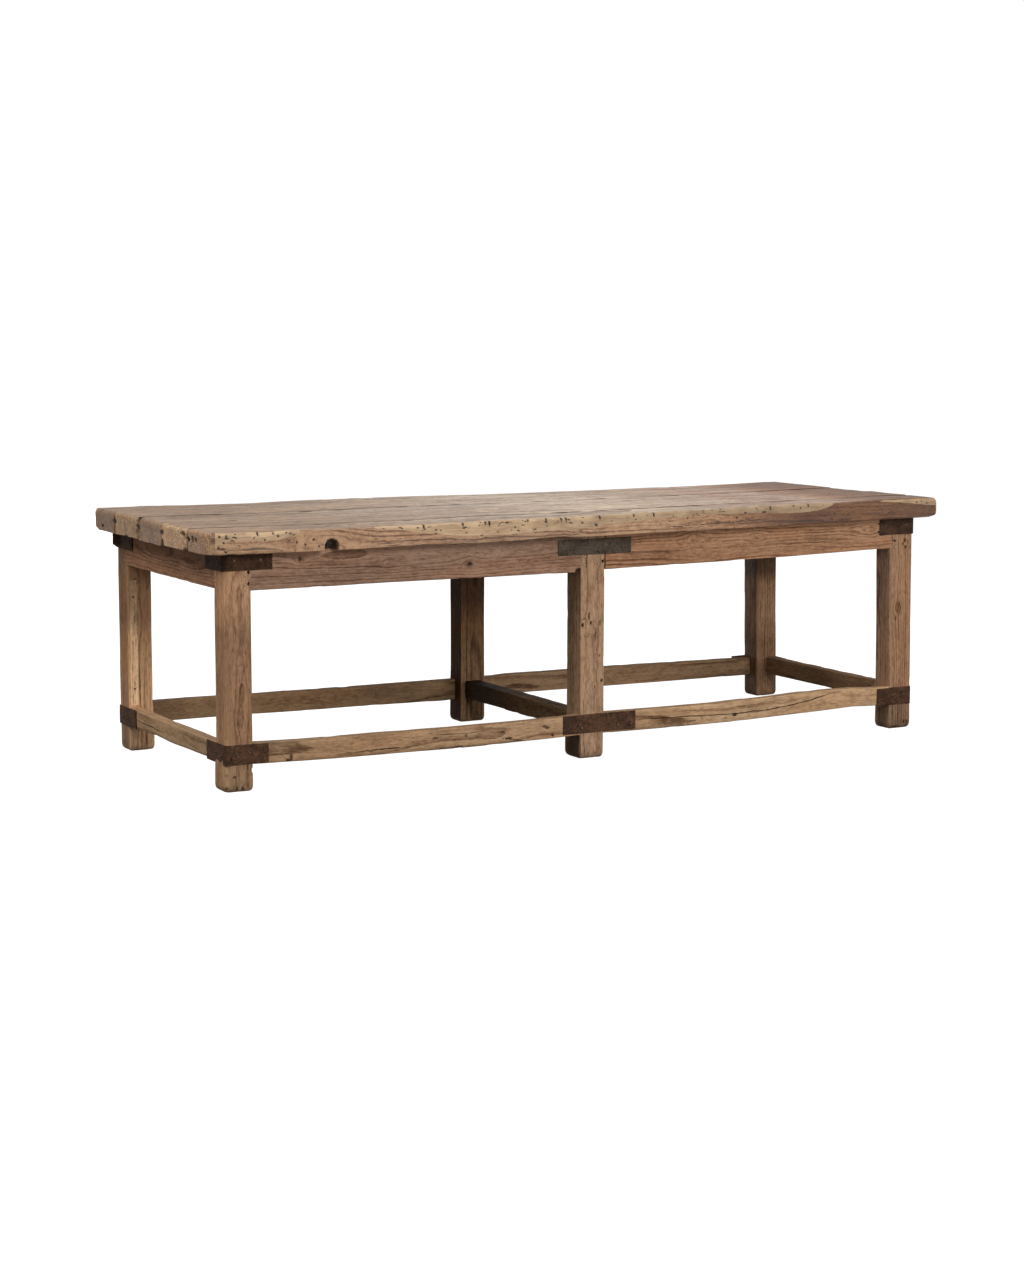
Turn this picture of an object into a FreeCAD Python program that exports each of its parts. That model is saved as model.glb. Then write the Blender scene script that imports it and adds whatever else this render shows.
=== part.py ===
import FreeCAD, Part

# Long work table: a thick plank top on a pegged six-leg frame with nailed iron straps.
# Millimetres, +Z up, X along the table, front at -Y.
# The origin lies on the floor under the middle of the top.

import math
import os
from dataclasses import dataclass

from FreeCAD import Vector

# Overall sizes
table_height = 784.0
top_length = 2656.0
top_width = 968.0
top_thickness = 63.0
end_overhang = 70.0
front_overhang = 44.0
back_overhang = 24.0

# Planks of the top, from the front; the back plank takes the width that is left
front_plank_width = 160.0
second_plank_width = 204.0
middle_plank_width = 221.0
fourth_plank_width = 192.0
plank_gap = 1.0
plank_edge_radius = 2.0
front_edge_radius = 9.0
back_edge_radius = 6.0
front_left_corner_radius = 52.0
front_right_corner_radius = 8.0
back_corner_radius = 16.0
plank_left_set_backs = (3.0, 0.0, 7.0, 4.0, 0.0)
plank_right_set_backs = (0.0, 3.0, 20.0, 26.0, 8.0)

# Knot hole in the lower edge of the front plank
knot_x = -925.0
knot_width = 36.0
knot_height = 26.0
knot_depth = 42.0

# Dowels between the planks
dowel_diameter = 16.0
dowel_length = 84.0
dowel_count = 6
dowel_end_inset = 260.0

# Legs
leg_width = 86.0
leg_depth = 80.0
leg_edge_radius = 5.0
foot_radius = 20.0

# Aprons and middle bearer
apron_height = 112.0
apron_thickness = 40.0
bearer_width = 58.0
bearer_height = 100.0

# Stretchers
stretcher_rise = 84.0
stretcher_height = 60.0
stretcher_thickness = 38.0
cross_stretcher_width = 58.0
front_left_sag = 8.0
front_right_sag = 3.0
back_left_sag = 2.0
back_right_sag = 5.0

# Mortise and tenon joints
tenon_face = 12.0
tenon_thickness = 14.0
apron_tenon_shoulder = 8.0
stretcher_tenon_shoulder = 9.0
mortise_web = 10.0
joint_gap = 0.3
peg_diameter = 8.0
peg_set_back = 18.0
peg_tail = 12.0
apron_peg_rise = 16.0
apron_peg_spacing = 27.0
stretcher_peg_drop = 12.0
hole_gap = 0.1

# Cleats and screws that hold the top down
cleat_size = 38.0
cleat_gap = 2.0
screw_diameter = 6.0
screw_head_diameter = 12.0
screw_head_height = 4.0
top_screw_bite = 38.0
cleat_screw_bite = 26.0
bearer_screw_web = 40.0
counterbore_gap = 2.0

# Iron straps
strap_thickness = 4.0
strap_bend_radius = 6.0
upper_strap_height = 51.0
upper_strap_drop = 2.0
upper_strap_long_arm = 155.0
upper_strap_end_arm = 140.0
lower_strap_height = 60.0
lower_strap_long_arm = 136.0
lower_strap_end_arm = 147.0
middle_strap_width = 268.0
upper_plate_shift = 10.0
upper_plate_drop = 12.0
lower_strap_shift = 30.0

# Nails and screws in the straps
nail_diameter = 4.0
nail_length = 34.0
nail_head_diameter = 11.0
nail_head_height = 2.6
small_nail_head_diameter = 7.0
leg_nail_inset = 31.0
upper_rail_nail_inset = 116.0
lower_rail_nail_inset = 74.0
nail_stagger = 5.0
end_nail_inset = 14.0
end_nail_margin = 12.0
flat_strap_nail_inset = 19.0
flat_strap_nail_spacing = 48.0
flat_strap_nail_drop = 12.0
flat_strap_nails_per_end = 2
plate_screw_end_inset = 22.0
plate_screw_edge_inset = 11.0
plate_hole_spacing = 90.0
plate_screw_slip = 37.0
plate_screws_per_row = 3

# Repair strip let into the back left leg
patch_width = 26.0
patch_depth = 10.0
patch_inset = 7.0
patch_lift = 6.0
patch_drop = 48.0
patch_nail_inset = 55.0

# Levels and faces worked out from the sizes above
chosen_widths = (
    front_plank_width,
    second_plank_width,
    middle_plank_width,
    fourth_plank_width,
)
back_plank_width = top_width - sum(chosen_widths) - plank_gap * len(chosen_widths)
plank_widths = (*chosen_widths, back_plank_width)
top_front = -top_width / 2
underside = table_height - top_thickness
apron_bottom = underside - apron_height
stretcher_top = stretcher_rise + stretcher_height
stretcher_middle_height = stretcher_rise + stretcher_height / 2
frame_left = end_overhang - top_length / 2
frame_right = top_length / 2 - end_overhang
frame_front = top_front + front_overhang
frame_back = top_width / 2 - back_overhang
leg_spans_x = {
    "left": (frame_left, frame_left + leg_width),
    "middle": (-leg_width / 2, leg_width / 2),
    "right": (frame_right - leg_width, frame_right),
}
leg_spans_y = {
    "front": (frame_front, frame_front + leg_depth),
    "back": (frame_back - leg_depth, frame_back),
}
inner_front = leg_spans_y["front"][1]
inner_back = leg_spans_y["back"][0]
# A tenon stops one web short of the mortise that crosses its way.
long_tenon = leg_width - tenon_face - tenon_thickness - mortise_web
end_tenon = leg_depth - tenon_face - tenon_thickness - mortise_web
half_leg_tenon = (leg_width - mortise_web) / 2
stretcher_peg_height = stretcher_middle_height - stretcher_peg_drop


# Basic shapes


def box_between(corner, opposite):
    """Box between two opposite corners, given in any order."""
    low = Vector(min(corner.x, opposite.x), min(corner.y, opposite.y), min(corner.z, opposite.z))
    high = Vector(max(corner.x, opposite.x), max(corner.y, opposite.y), max(corner.z, opposite.z))
    size = high - low
    return Part.makeBox(size.x, size.y, size.z, low)


def rounded_face(corners, radii):
    """Flat face inside a polygon whose corners are rounded by the given radii."""
    entries, exits, arcs = [], [], []
    for index, corner in enumerate(corners):
        back = (corners[index - 1] - corner).normalize()
        ahead = (corners[(index + 1) % len(corners)] - corner).normalize()
        half_angle = back.getAngle(ahead) / 2
        reach = radii[index] / math.tan(half_angle)
        inward = (back + ahead).normalize()
        nearest = radii[index] / math.sin(half_angle) - radii[index]
        entries.append(corner + back * reach)
        exits.append(corner + ahead * reach)
        arcs.append(corner + inward * nearest)
    edges = []
    for index in range(len(corners)):
        following = (index + 1) % len(corners)
        if radii[index] > 0:
            edges.append(Part.Arc(entries[index], arcs[index], exits[index]).toShape())
        edges.append(Part.makeLine(exits[index], entries[following]))
    return Part.Face(Part.Wire(edges))


def along_point(along, distance, across, height):
    """Point given along and across a rail that runs with X or with Y."""
    if along == "x":
        return Vector(distance, across, height)
    return Vector(across, distance, height)


def drilled(solid, holes):
    """The solid with every hole that reaches it cut out."""
    near = [hole for hole in holes if hole.BoundBox.intersect(solid.BoundBox)]
    return solid.cut(near) if near else solid


# Fasteners


def rod(start, end, diameter):
    """Round rod from one point to another."""
    way = end - start
    return Part.makeCylinder(diameter / 2, way.Length, start, way)


def domed_fastener(seat, outward, diameter, length, head_diameter, head_height):
    """Nail or screw whose domed head stands on the seat, and the hole for its shank."""
    tip = seat - outward * length
    dome_radius = (head_diameter**2 / 4 + head_height**2) / (2 * head_height)
    centre = seat + outward * (head_height - dome_radius)
    rim_angle = math.degrees(math.asin((dome_radius - head_height) / dome_radius))
    head = Part.makeSphere(dome_radius, centre, outward, rim_angle, 90, 360)
    shank = rod(tip, seat, diameter)
    hole = rod(tip - outward * hole_gap, seat, diameter + 2 * hole_gap)
    return head.fuse(shank).removeSplitter(), hole


def flush_pin(start, end, diameter):
    """Wooden pin and the hole that takes it."""
    return rod(start, end, diameter), rod(start, end, diameter + 2 * hole_gap)


# Top


def plank(index):
    """One plank: a cross-section run along X, cut to its own ends."""
    last = len(plank_widths) - 1
    near = top_front + sum(plank_widths[:index]) + plank_gap * index
    far = near + plank_widths[index]
    left = -top_length / 2 + plank_left_set_backs[index]
    right = top_length / 2 - plank_right_set_backs[index]
    near_radius = front_edge_radius if index == 0 else plank_edge_radius
    far_radius = back_edge_radius if index == last else plank_edge_radius
    section = rounded_face(
        [
            Vector(left, near, underside),
            Vector(left, far, underside),
            Vector(left, far, table_height),
            Vector(left, near, table_height),
        ],
        [plank_edge_radius, plank_edge_radius, far_radius, near_radius],
    )
    plan_radii = [plank_edge_radius] * 4
    if index == 0:
        plan_radii[0] = front_left_corner_radius
        plan_radii[1] = front_right_corner_radius
    if index == last:
        plan_radii[2] = back_corner_radius
        plan_radii[3] = back_corner_radius
    plan = rounded_face(
        [
            Vector(left, near, underside),
            Vector(right, near, underside),
            Vector(right, far, underside),
            Vector(left, far, underside),
        ],
        plan_radii,
    )
    solid = section.extrude(Vector(right - left, 0, 0)).common(
        plan.extrude(Vector(0, 0, top_thickness))
    )
    return solid, near, far


def knot_hole():
    """Arched hole, open at the underside, in the front face of the front plank."""
    crown = underside + knot_height - knot_width / 2
    arch = rod(
        Vector(knot_x, top_front, crown), Vector(knot_x, top_front + knot_depth, crown), knot_width
    )
    mouth = box_between(
        Vector(knot_x - knot_width / 2, top_front, underside),
        Vector(knot_x + knot_width / 2, top_front + knot_depth, crown),
    )
    return arch.fuse(mouth)


# Frame


def leg(span_x, span_y):
    """Square leg with eased corners and a foot worn round."""
    (x0, x1), (y0, y1) = span_x, span_y
    plan = rounded_face(
        [Vector(x0, y0, 0), Vector(x1, y0, 0), Vector(x1, y1, 0), Vector(x0, y1, 0)],
        [leg_edge_radius] * 4,
    )
    foot_radii = [foot_radius, foot_radius, 0, 0]
    front = rounded_face(
        [
            Vector(x0, y0, 0),
            Vector(x1, y0, 0),
            Vector(x1, y0, underside),
            Vector(x0, y0, underside),
        ],
        foot_radii,
    )
    side = rounded_face(
        [
            Vector(x0, y0, 0),
            Vector(x0, y1, 0),
            Vector(x0, y1, underside),
            Vector(x0, y0, underside),
        ],
        foot_radii,
    )
    column = plan.extrude(Vector(0, 0, underside))
    column = column.common(front.extrude(Vector(0, y1 - y0, 0)))
    return column.common(side.extrude(Vector(x1 - x0, 0, 0)))


@dataclass
class Rail:
    """A rail between two legs. It lies inward from its face, and pegs enter at peg_face."""

    name: str
    along: str
    start: float
    end: float
    face: float
    inward: int
    thickness: float
    bottom: float
    top: float
    start_tenon: float
    end_tenon: float
    tenon_set: float
    tenon_shoulder: float
    peg_face: float
    peg_heights: list
    sag: float = 0.0

    def point(self, distance, depth, height):
        return along_point(self.along, distance, self.face + self.inward * depth, height)

    def body(self):
        """The rail between its shoulders, sagging in the middle if it has a sag."""
        if not self.sag:
            return box_between(
                self.point(self.start, 0, self.bottom),
                self.point(self.end, self.thickness, self.top),
            )
        middle = (self.start + self.end) / 2
        lower, upper = (
            Part.Arc(
                self.point(self.start, 0, height),
                self.point(middle, 0, height - self.sag),
                self.point(self.end, 0, height),
            ).toShape()
            for height in (self.bottom, self.top)
        )
        ends = [
            Part.makeLine(self.point(end, 0, self.bottom), self.point(end, 0, self.top))
            for end in (self.start, self.end)
        ]
        side = Part.Face(Part.Wire(Part.__sortEdges__([lower, upper, *ends])))
        across = self.point(self.start, self.thickness, 0) - self.point(self.start, 0, 0)
        return side.extrude(across)

    def tenons(self, spare=0.0):
        """Both tenons, or the mortises for them when spare room is given all round."""
        low = self.bottom + self.tenon_shoulder - spare
        high = self.top - self.tenon_shoulder + spare
        near = self.tenon_set - spare
        far = self.tenon_set + tenon_thickness + spare
        return [
            box_between(self.point(shoulder, near, low), self.point(tip, far, high))
            for shoulder, tip in (
                (self.start, self.start - self.start_tenon - spare),
                (self.end, self.end + self.end_tenon + spare),
            )
        ]

    def solid(self):
        return self.body().fuse(self.tenons()).removeSplitter()

    def pegs(self):
        """Pegs through both tenons, each with its hole."""
        depth = self.tenon_set + tenon_thickness + peg_tail
        pins = []
        for distance in (self.start - peg_set_back, self.end + peg_set_back):
            for height in self.peg_heights:
                mouth = along_point(self.along, distance, self.peg_face, height)
                pins.append(flush_pin(mouth, self.point(distance, depth, height), peg_diameter))
        return pins


def apron(name, along, start, end, face, inward, start_tenon, end_tenon):
    """Upper rail, flush with the outer faces of its legs."""
    low_peg = apron_bottom + apron_peg_rise
    return Rail(
        name=name,
        along=along,
        start=start,
        end=end,
        face=face,
        inward=inward,
        thickness=apron_thickness,
        bottom=apron_bottom,
        top=underside,
        start_tenon=start_tenon,
        end_tenon=end_tenon,
        tenon_set=tenon_face,
        tenon_shoulder=apron_tenon_shoulder,
        peg_face=face,
        peg_heights=[low_peg, low_peg + apron_peg_spacing],
    )


def stretcher(name, along, start, end, face, inward, start_tenon, end_tenon, sag=0.0):
    """Lower rail, flush with the outer faces of its legs."""
    return Rail(
        name=name,
        along=along,
        start=start,
        end=end,
        face=face,
        inward=inward,
        thickness=stretcher_thickness,
        bottom=stretcher_rise,
        top=stretcher_top,
        start_tenon=start_tenon,
        end_tenon=end_tenon,
        tenon_set=tenon_face,
        tenon_shoulder=stretcher_tenon_shoulder,
        peg_face=face,
        peg_heights=[stretcher_peg_height],
        sag=sag,
    )


def cross_rail(name, width, bottom, top, shoulder, peg_heights):
    """Rail between the two middle legs, with its tenons in the middle of its width."""
    return Rail(
        name=name,
        along="y",
        start=inner_front,
        end=inner_back,
        face=-width / 2,
        inward=1,
        thickness=width,
        bottom=bottom,
        top=top,
        start_tenon=end_tenon,
        end_tenon=end_tenon,
        tenon_set=(width - tenon_thickness) / 2,
        tenon_shoulder=shoulder,
        peg_face=-leg_width / 2,
        peg_heights=peg_heights,
    )


def all_rails():
    """Every apron, stretcher and cross rail of the frame."""
    left_bay = (leg_spans_x["left"][1], leg_spans_x["middle"][0])
    right_bay = (leg_spans_x["middle"][1], leg_spans_x["right"][0])
    sags = {
        ("front", "left"): front_left_sag,
        ("front", "right"): front_right_sag,
        ("back", "left"): back_left_sag,
        ("back", "right"): back_right_sag,
    }
    rails = []
    for side, face, inward in (("front", frame_front, 1), ("back", frame_back, -1)):
        for half, bay, tenons in (
            ("left", left_bay, (long_tenon, half_leg_tenon)),
            ("right", right_bay, (half_leg_tenon, long_tenon)),
        ):
            place = ("x", *bay, face, inward, *tenons)
            rails.append(apron(f"apron_{side}_{half}", *place))
            rails.append(stretcher(f"stretcher_{side}_{half}", *place, sags[side, half]))
    for half, face, inward in (("left", frame_left, 1), ("right", frame_right, -1)):
        place = ("y", inner_front, inner_back, face, inward, end_tenon, end_tenon)
        rails.append(apron(f"apron_{half}_end", *place))
        rails.append(stretcher(f"stretcher_{half}_end", *place))
    low_peg = apron_bottom + apron_peg_rise + apron_tenon_shoulder
    rails.append(
        cross_rail(
            "middle_bearer",
            bearer_width,
            underside - bearer_height,
            underside,
            apron_tenon_shoulder,
            [low_peg, low_peg + apron_peg_spacing],
        )
    )
    rails.append(
        cross_rail(
            "stretcher_middle",
            cross_stretcher_width,
            stretcher_rise,
            stretcher_top,
            stretcher_tenon_shoulder,
            [stretcher_peg_height],
        )
    )
    return rails


def cleat(face, inward):
    """Square cleat inside an end apron, between the legs, under the planks."""
    return box_between(
        Vector(face + inward * apron_thickness, inner_front + cleat_gap, underside - cleat_size),
        Vector(
            face + inward * (apron_thickness + cleat_size), inner_back - cleat_gap, underside
        ),
    )


# Straps


def strap_nail(seat, outward, head_diameter=nail_head_diameter):
    """Nail with its head on the seat, driven against the outward direction."""
    return domed_fastener(
        seat, outward, nail_diameter, nail_length, head_diameter, nail_head_height
    )


def arm_nails(corner, along, outward, arm, rail_inset, middle, stagger, height):
    """Nails of one strap arm: one in the leg, one in the rail and a small pair at its end."""
    end_rise = height / 2 - end_nail_margin
    nails = [
        strap_nail(corner + along * inset + Vector(0, 0, middle + stagger), outward)
        for inset in (leg_nail_inset, rail_inset)
    ]
    for rise in (-end_rise, end_rise):
        seat = corner + along * (arm - end_nail_inset) + Vector(0, 0, middle + rise)
        nails.append(strap_nail(seat, outward, small_nail_head_diameter))
    return nails


def corner_strap(x, y, into_x, into_y, long_arm, end_arm, rail_inset, bottom, height):
    """Strap bent round a corner of the frame, and the nails through its two arms."""
    out = Vector(x - into_x * strap_thickness, y - into_y * strap_thickness, bottom)
    top = bottom + height
    arms = box_between(out, Vector(x + into_x * long_arm, y, top)).fuse(
        box_between(out, Vector(x, y + into_y * end_arm, top))
    )
    arms = arms.removeSplitter()
    bend = [
        edge
        for edge in arms.Edges
        if all(abs(v.X - out.x) + abs(v.Y - out.y) < hole_gap for v in edge.Vertexes)
    ]
    middle = bottom + height / 2
    along_x, along_y = Vector(into_x, 0, 0), Vector(0, into_y, 0)
    long_corner, end_corner = Vector(x, out.y, 0), Vector(out.x, y, 0)
    # The two arms' nails pass above and below each other inside the leg.
    nails = arm_nails(
        long_corner, along_x, -along_y, long_arm, rail_inset, middle, nail_stagger, height
    ) + arm_nails(
        end_corner, along_y, -along_x, end_arm, rail_inset, middle, -nail_stagger, height
    )
    return arms.makeFillet(strap_bend_radius, bend), nails


def flat_strap(y, into_y, centre_x, bottom, height):
    """Straight strap across a middle leg."""
    half = middle_strap_width / 2
    return box_between(
        Vector(centre_x - half, y, bottom),
        Vector(centre_x + half, y - into_y * strap_thickness, bottom + height),
    )


def flat_strap_nails(y, into_y, centre_x, bottom, height):
    """A row of nails near each end of a lower flat strap."""
    nails = []
    for side in (-1, 1):
        for step in range(flat_strap_nails_per_end):
            inset = flat_strap_nail_inset + step * flat_strap_nail_spacing
            seat = Vector(
                centre_x + side * (middle_strap_width / 2 - inset),
                y - into_y * strap_thickness,
                bottom + height / 2 - flat_strap_nail_drop,
            )
            nails.append(strap_nail(seat, Vector(0, -into_y, 0)))
    return nails


def plate_screws(y, into_y, centre_x, bottom, height):
    """Two rows of screws in an upper plate, the lower row slipped to one side."""
    first = centre_x - middle_strap_width / 2 + plate_screw_end_inset
    rows = (
        (first, bottom + height - plate_screw_edge_inset),
        (first + plate_screw_slip, bottom + plate_screw_edge_inset),
    )
    screws = []
    for start, z in rows:
        for step in range(plate_screws_per_row):
            seat = Vector(start + step * plate_hole_spacing, y - into_y * strap_thickness, z)
            screws.append(strap_nail(seat, Vector(0, -into_y, 0)))
    return screws


# Build the pieces

wood, iron, groups = {}, {}, {}


def add_group(name, fasteners):
    """Keep a set of fasteners as one group and return their holes."""
    groups.setdefault(name, []).extend(solid for solid, _ in fasteners)
    return [hole for _, hole in fasteners]


# Frame: legs, then rails with their tenons and pegs
for side, span_y in leg_spans_y.items():
    for half, span_x in leg_spans_x.items():
        wood[f"leg_{side}_{half}"] = leg(span_x, span_y)

holes, mortises = [], []
for rail in all_rails():
    wood[rail.name] = rail.solid()
    mortises.extend(rail.tenons(joint_gap))
    pegs = "stretcher_pegs" if rail.bottom == stretcher_rise else "apron_pegs"
    holes.extend(add_group(pegs, rail.pegs()))
for name in list(wood):
    if name.startswith("leg_"):
        wood[name] = drilled(wood[name], mortises)

# Repair strip in the back left leg
patch_bottom = stretcher_top + patch_lift
patch_top = apron_bottom - patch_drop
patch_near = Vector(frame_left + patch_inset, inner_back, patch_bottom)
patch_far = Vector(patch_near.x + patch_width, inner_back + patch_depth, patch_top)
patch = box_between(patch_near, patch_far)
wood["leg_back_left"] = wood["leg_back_left"].cut(patch)
wood["leg_patch"] = patch
patch_middle = patch_near.x + patch_width / 2
patch_nails = [
    strap_nail(
        Vector(patch_middle, inner_back, height), Vector(0, -1, 0), small_nail_head_diameter
    )
    for height in (patch_bottom + patch_nail_inset, patch_top - patch_nail_inset)
]
holes.extend(add_group("patch_nails", patch_nails))

# Top: planks, and dowels across each seam
seams = []
plank_spans = []
for index in range(len(plank_widths)):
    solid, near, far = plank(index)
    wood[f"top_plank_{index + 1}"] = solid
    plank_spans.append((near, far))
    if index:
        seams.append(near - plank_gap / 2)
wood["top_plank_1"] = wood["top_plank_1"].cut(knot_hole())
dowel_run = top_length - 2 * dowel_end_inset
dowel_height = underside + top_thickness / 2
for seam in seams:
    for step in range(dowel_count):
        x = -dowel_run / 2 + dowel_run * step / (dowel_count - 1)
        dowel = flush_pin(
            Vector(x, seam - dowel_length / 2, dowel_height),
            Vector(x, seam + dowel_length / 2, dowel_height),
            dowel_diameter,
        )
        holes.extend(add_group("plank_dowels", [dowel]))

# Cleats at the ends, screwed to the end aprons between the planks' own screws
screw_lines = [(0.0, underside - bearer_screw_web, bearer_screw_web)]
for half, face, inward in (("left", frame_left, 1), ("right", frame_right, -1)):
    wood[f"{half}_top_cleat"] = cleat(face, inward)
    inner_face = face + inward * (apron_thickness + cleat_size)
    screw_lines.append((inner_face - inward * cleat_size / 2, underside - cleat_size, cleat_size))
    for seam in seams:
        cleat_screw = domed_fastener(
            Vector(inner_face, seam, underside - cleat_size / 2),
            Vector(inward, 0, 0),
            screw_diameter,
            cleat_size + cleat_screw_bite,
            screw_head_diameter,
            screw_head_height,
        )
        holes.extend(add_group("cleat_screws", [cleat_screw]))

# Screws up into every plank, through the cleats and the middle bearer
for near, far in plank_spans:
    y = (max(near, inner_front + cleat_gap) + min(far, inner_back - cleat_gap)) / 2
    for x, seat_height, grip in screw_lines:
        top_screw = domed_fastener(
            Vector(x, y, seat_height),
            Vector(0, 0, -1),
            screw_diameter,
            grip + top_screw_bite,
            screw_head_diameter,
            screw_head_height,
        )
        holes.extend(add_group("top_screws", [top_screw]))
    bore_start = Vector(0, y, underside - bearer_height)
    bore_end = Vector(0, y, underside - bearer_screw_web)
    bore = rod(bore_start, bore_end, screw_head_diameter + 2 * counterbore_gap)
    wood["middle_bearer"] = wood["middle_bearer"].cut(bore)

# Straps at the four corners and across the middle legs
upper_bottom = underside - upper_strap_drop - upper_strap_height
lower_bottom = stretcher_middle_height - lower_strap_height / 2
plate_bottom = underside - upper_plate_drop - upper_strap_height
for side, y, into_y in (("front", frame_front, 1), ("back", frame_back, -1)):
    for half, x, into_x in (("left", frame_left, 1), ("right", frame_right, -1)):
        name = f"upper_strap_{side}_{half}"
        upper = (upper_strap_long_arm, upper_strap_end_arm, upper_rail_nail_inset)
        iron[name], nails = corner_strap(
            x, y, into_x, into_y, *upper, upper_bottom, upper_strap_height
        )
        holes.extend(add_group("upper_strap_nails", nails))
        name = f"lower_strap_{side}_{half}"
        lower = (lower_strap_long_arm, lower_strap_end_arm, lower_rail_nail_inset)
        iron[name], nails = corner_strap(
            x, y, into_x, into_y, *lower, lower_bottom, lower_strap_height
        )
        holes.extend(add_group("lower_strap_nails", nails))
    plate = (y, into_y, upper_plate_shift, plate_bottom, upper_strap_height)
    iron[f"upper_plate_{side}"] = flat_strap(*plate)
    holes.extend(add_group("upper_plate_screws", plate_screws(*plate)))
    band = (y, into_y, lower_strap_shift, lower_bottom, lower_strap_height)
    iron[f"lower_strap_{side}_middle"] = flat_strap(*band)
    holes.extend(add_group("lower_strap_nails", flat_strap_nails(*band)))

# Drill every piece for the fasteners that pass through it, and write one file per piece
os.makedirs("parts", exist_ok=True)
for name, solid in {**wood, **iron}.items():
    drilled(solid, holes).exportStep(f"parts/{name}.step")
for name, solids in groups.items():
    Part.makeCompound(solids).exportStep(f"parts/{name}.step")
print(len(wood) + len(iron) + len(groups), "pieces")
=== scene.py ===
import math
from dataclasses import dataclass, field

import bmesh
import bpy
import numpy as np
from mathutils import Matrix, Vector


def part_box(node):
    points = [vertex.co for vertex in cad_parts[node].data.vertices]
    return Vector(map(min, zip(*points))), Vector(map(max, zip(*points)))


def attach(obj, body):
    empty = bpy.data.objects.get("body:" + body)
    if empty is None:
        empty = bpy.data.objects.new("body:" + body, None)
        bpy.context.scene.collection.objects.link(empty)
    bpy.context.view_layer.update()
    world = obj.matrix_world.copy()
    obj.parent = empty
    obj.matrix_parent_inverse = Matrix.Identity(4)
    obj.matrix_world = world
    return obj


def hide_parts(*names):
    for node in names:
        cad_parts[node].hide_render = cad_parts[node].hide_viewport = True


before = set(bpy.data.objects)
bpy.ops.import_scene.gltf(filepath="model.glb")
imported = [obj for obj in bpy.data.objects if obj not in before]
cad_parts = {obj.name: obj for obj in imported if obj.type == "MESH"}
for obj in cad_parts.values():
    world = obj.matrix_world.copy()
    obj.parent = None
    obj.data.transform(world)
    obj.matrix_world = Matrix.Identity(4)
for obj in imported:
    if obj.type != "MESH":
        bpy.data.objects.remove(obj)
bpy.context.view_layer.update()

# Old work table: worn planks on a pegged frame, with rusted straps nailed round the corners.
# Metres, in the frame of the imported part. Sizes and places on the table are given in millimetres.
MM = 0.001

# Camera
CAMERA_PLACE = (-4.2907, -7.8330, 1.5385)
CAMERA_TURN = 28.43
CAMERA_TILT = 7.50
CAMERA_LENS = 77.107
CAMERA_SENSOR = 36.0

# Noise for worn shapes
NOISE_STRIDES = np.array((73856093, 19349663, 83492791))
NOISE_SEED_STEP = 2654435761
NOISE_MIX = 1274126177


def lattice_noise(points, seed):
    """Smooth noise from -1 to 1 at points measured in noise cells."""
    cell = np.floor(points).astype(np.int64)
    share = points - cell
    share = share * share * (3 - 2 * share)
    total = np.zeros(points.shape[:-1])
    for corner in np.ndindex(2, 2, 2):
        key = (cell + corner) @ NOISE_STRIDES + seed * NOISE_SEED_STEP
        key = (key ^ (key >> 13)) * NOISE_MIX
        key = key ^ (key >> 16)
        weight = np.where(corner, share, 1 - share).prod(-1)
        total += weight * ((key & 0xFFFF) / 0x7FFF - 1)
    return total


def fade(value, low, high):
    """Smooth step from 0 at low to 1 at high."""
    share = np.clip((value - low) / (high - low), 0, 1)
    return share * share * (3 - 2 * share)


def along_line(place, points, part=1):
    """Value at a place in metres on a line of points whose places are in millimetres."""
    way = np.array(points, float)
    return np.interp(place / MM, way[:, 0], way[:, part])


def tints_along(place, points):
    """Tint at a place on a line of points, each with one shade or with red, green and blue."""
    return np.stack([along_line(place, points, part) for part in range(1, len(points[0]))], -1)


# Boards

ARC_STEPS = 5
CORNERS = ((1, -1, -90), (1, 1, 0), (-1, 1, 90), (-1, -1, 180))
ARRIS_REACH = 7 * MM
RING_WIDTH = 5.0

# Corner radii wander along a board: cells per metre, share, and limits as shares of the radius
RADIUS_CELLS, RADIUS_SWAY, RADIUS_LIMITS = 6, 0.8, (0.35, 2.2)
CORNER_APART = 7.3
SMALLEST_RADIUS = 0.3 * MM
LARGEST_RADIUS_SHARE = 0.9

# Wear of a board: height in millimetres and cells per metre along and across it
HOLLOWS = ((0.9, (2.6, 12, 12)), (0.45, (9, 42, 42)), (0.2, (28, 120, 120)))
CHIP_CELLS, CHIP_START = (20, 36, 36), 0.25

# A mark's depth and darkness fade at these shares of its half sizes.
MARK_SINK, MARK_DARK = (1.1, 0.7), (1.12, 0.9)
# Seams between planks: painted shade on the plank sides in the gaps, and a patchy band on the face beside
# them, partly dirt and partly painted shade: how dark, how far and in what patches
SEAM_SIDE_DARK, SEAM_FACE_DARK, SEAM_DIRT_AND_SHADE = 0.9, 0.45, 9 * MM
SEAM_PATCHES, SEAM_LEVELS = (5, 1, 1), (-0.3, 0.6)

# How far a face has to turn toward a side, from none of a shade to all of it
SEAM_SIDE_TURN, SEAM_FACE_TURN = (0.45, 0.9), (0.4, 0.9)
UPWARD_TURN, SIDE_TURN = (0.6, 0.95), (0.5, 0.9)

# Grain swings round a knot: how far it is drawn out along the board, and how hard it is pushed aside.
KNOT_DRAWN, KNOT_PUSH, EYE_DRAWN = 1.8, 2.2, 1.25
NO_KNOT = 9.0
GRAIN_APART = 3.7
SPLIT_TAPER = 60 * MM
SPLIT_AWAY = 9 * MM


@dataclass
class Mark:
    """Hole, slot or dent, or with no depth a patch of painted shadow: its middle and half sizes in
    millimetres, how deep and how dark.
    """

    place: tuple
    half: tuple
    depth: float
    dark: float = 1.0


@dataclass
class Knot:
    """Knot on a face: its place along and across the board, its radius, and how dark its eye is."""

    along: float
    across: float
    radius: float
    eye: float = 1.0


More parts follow.
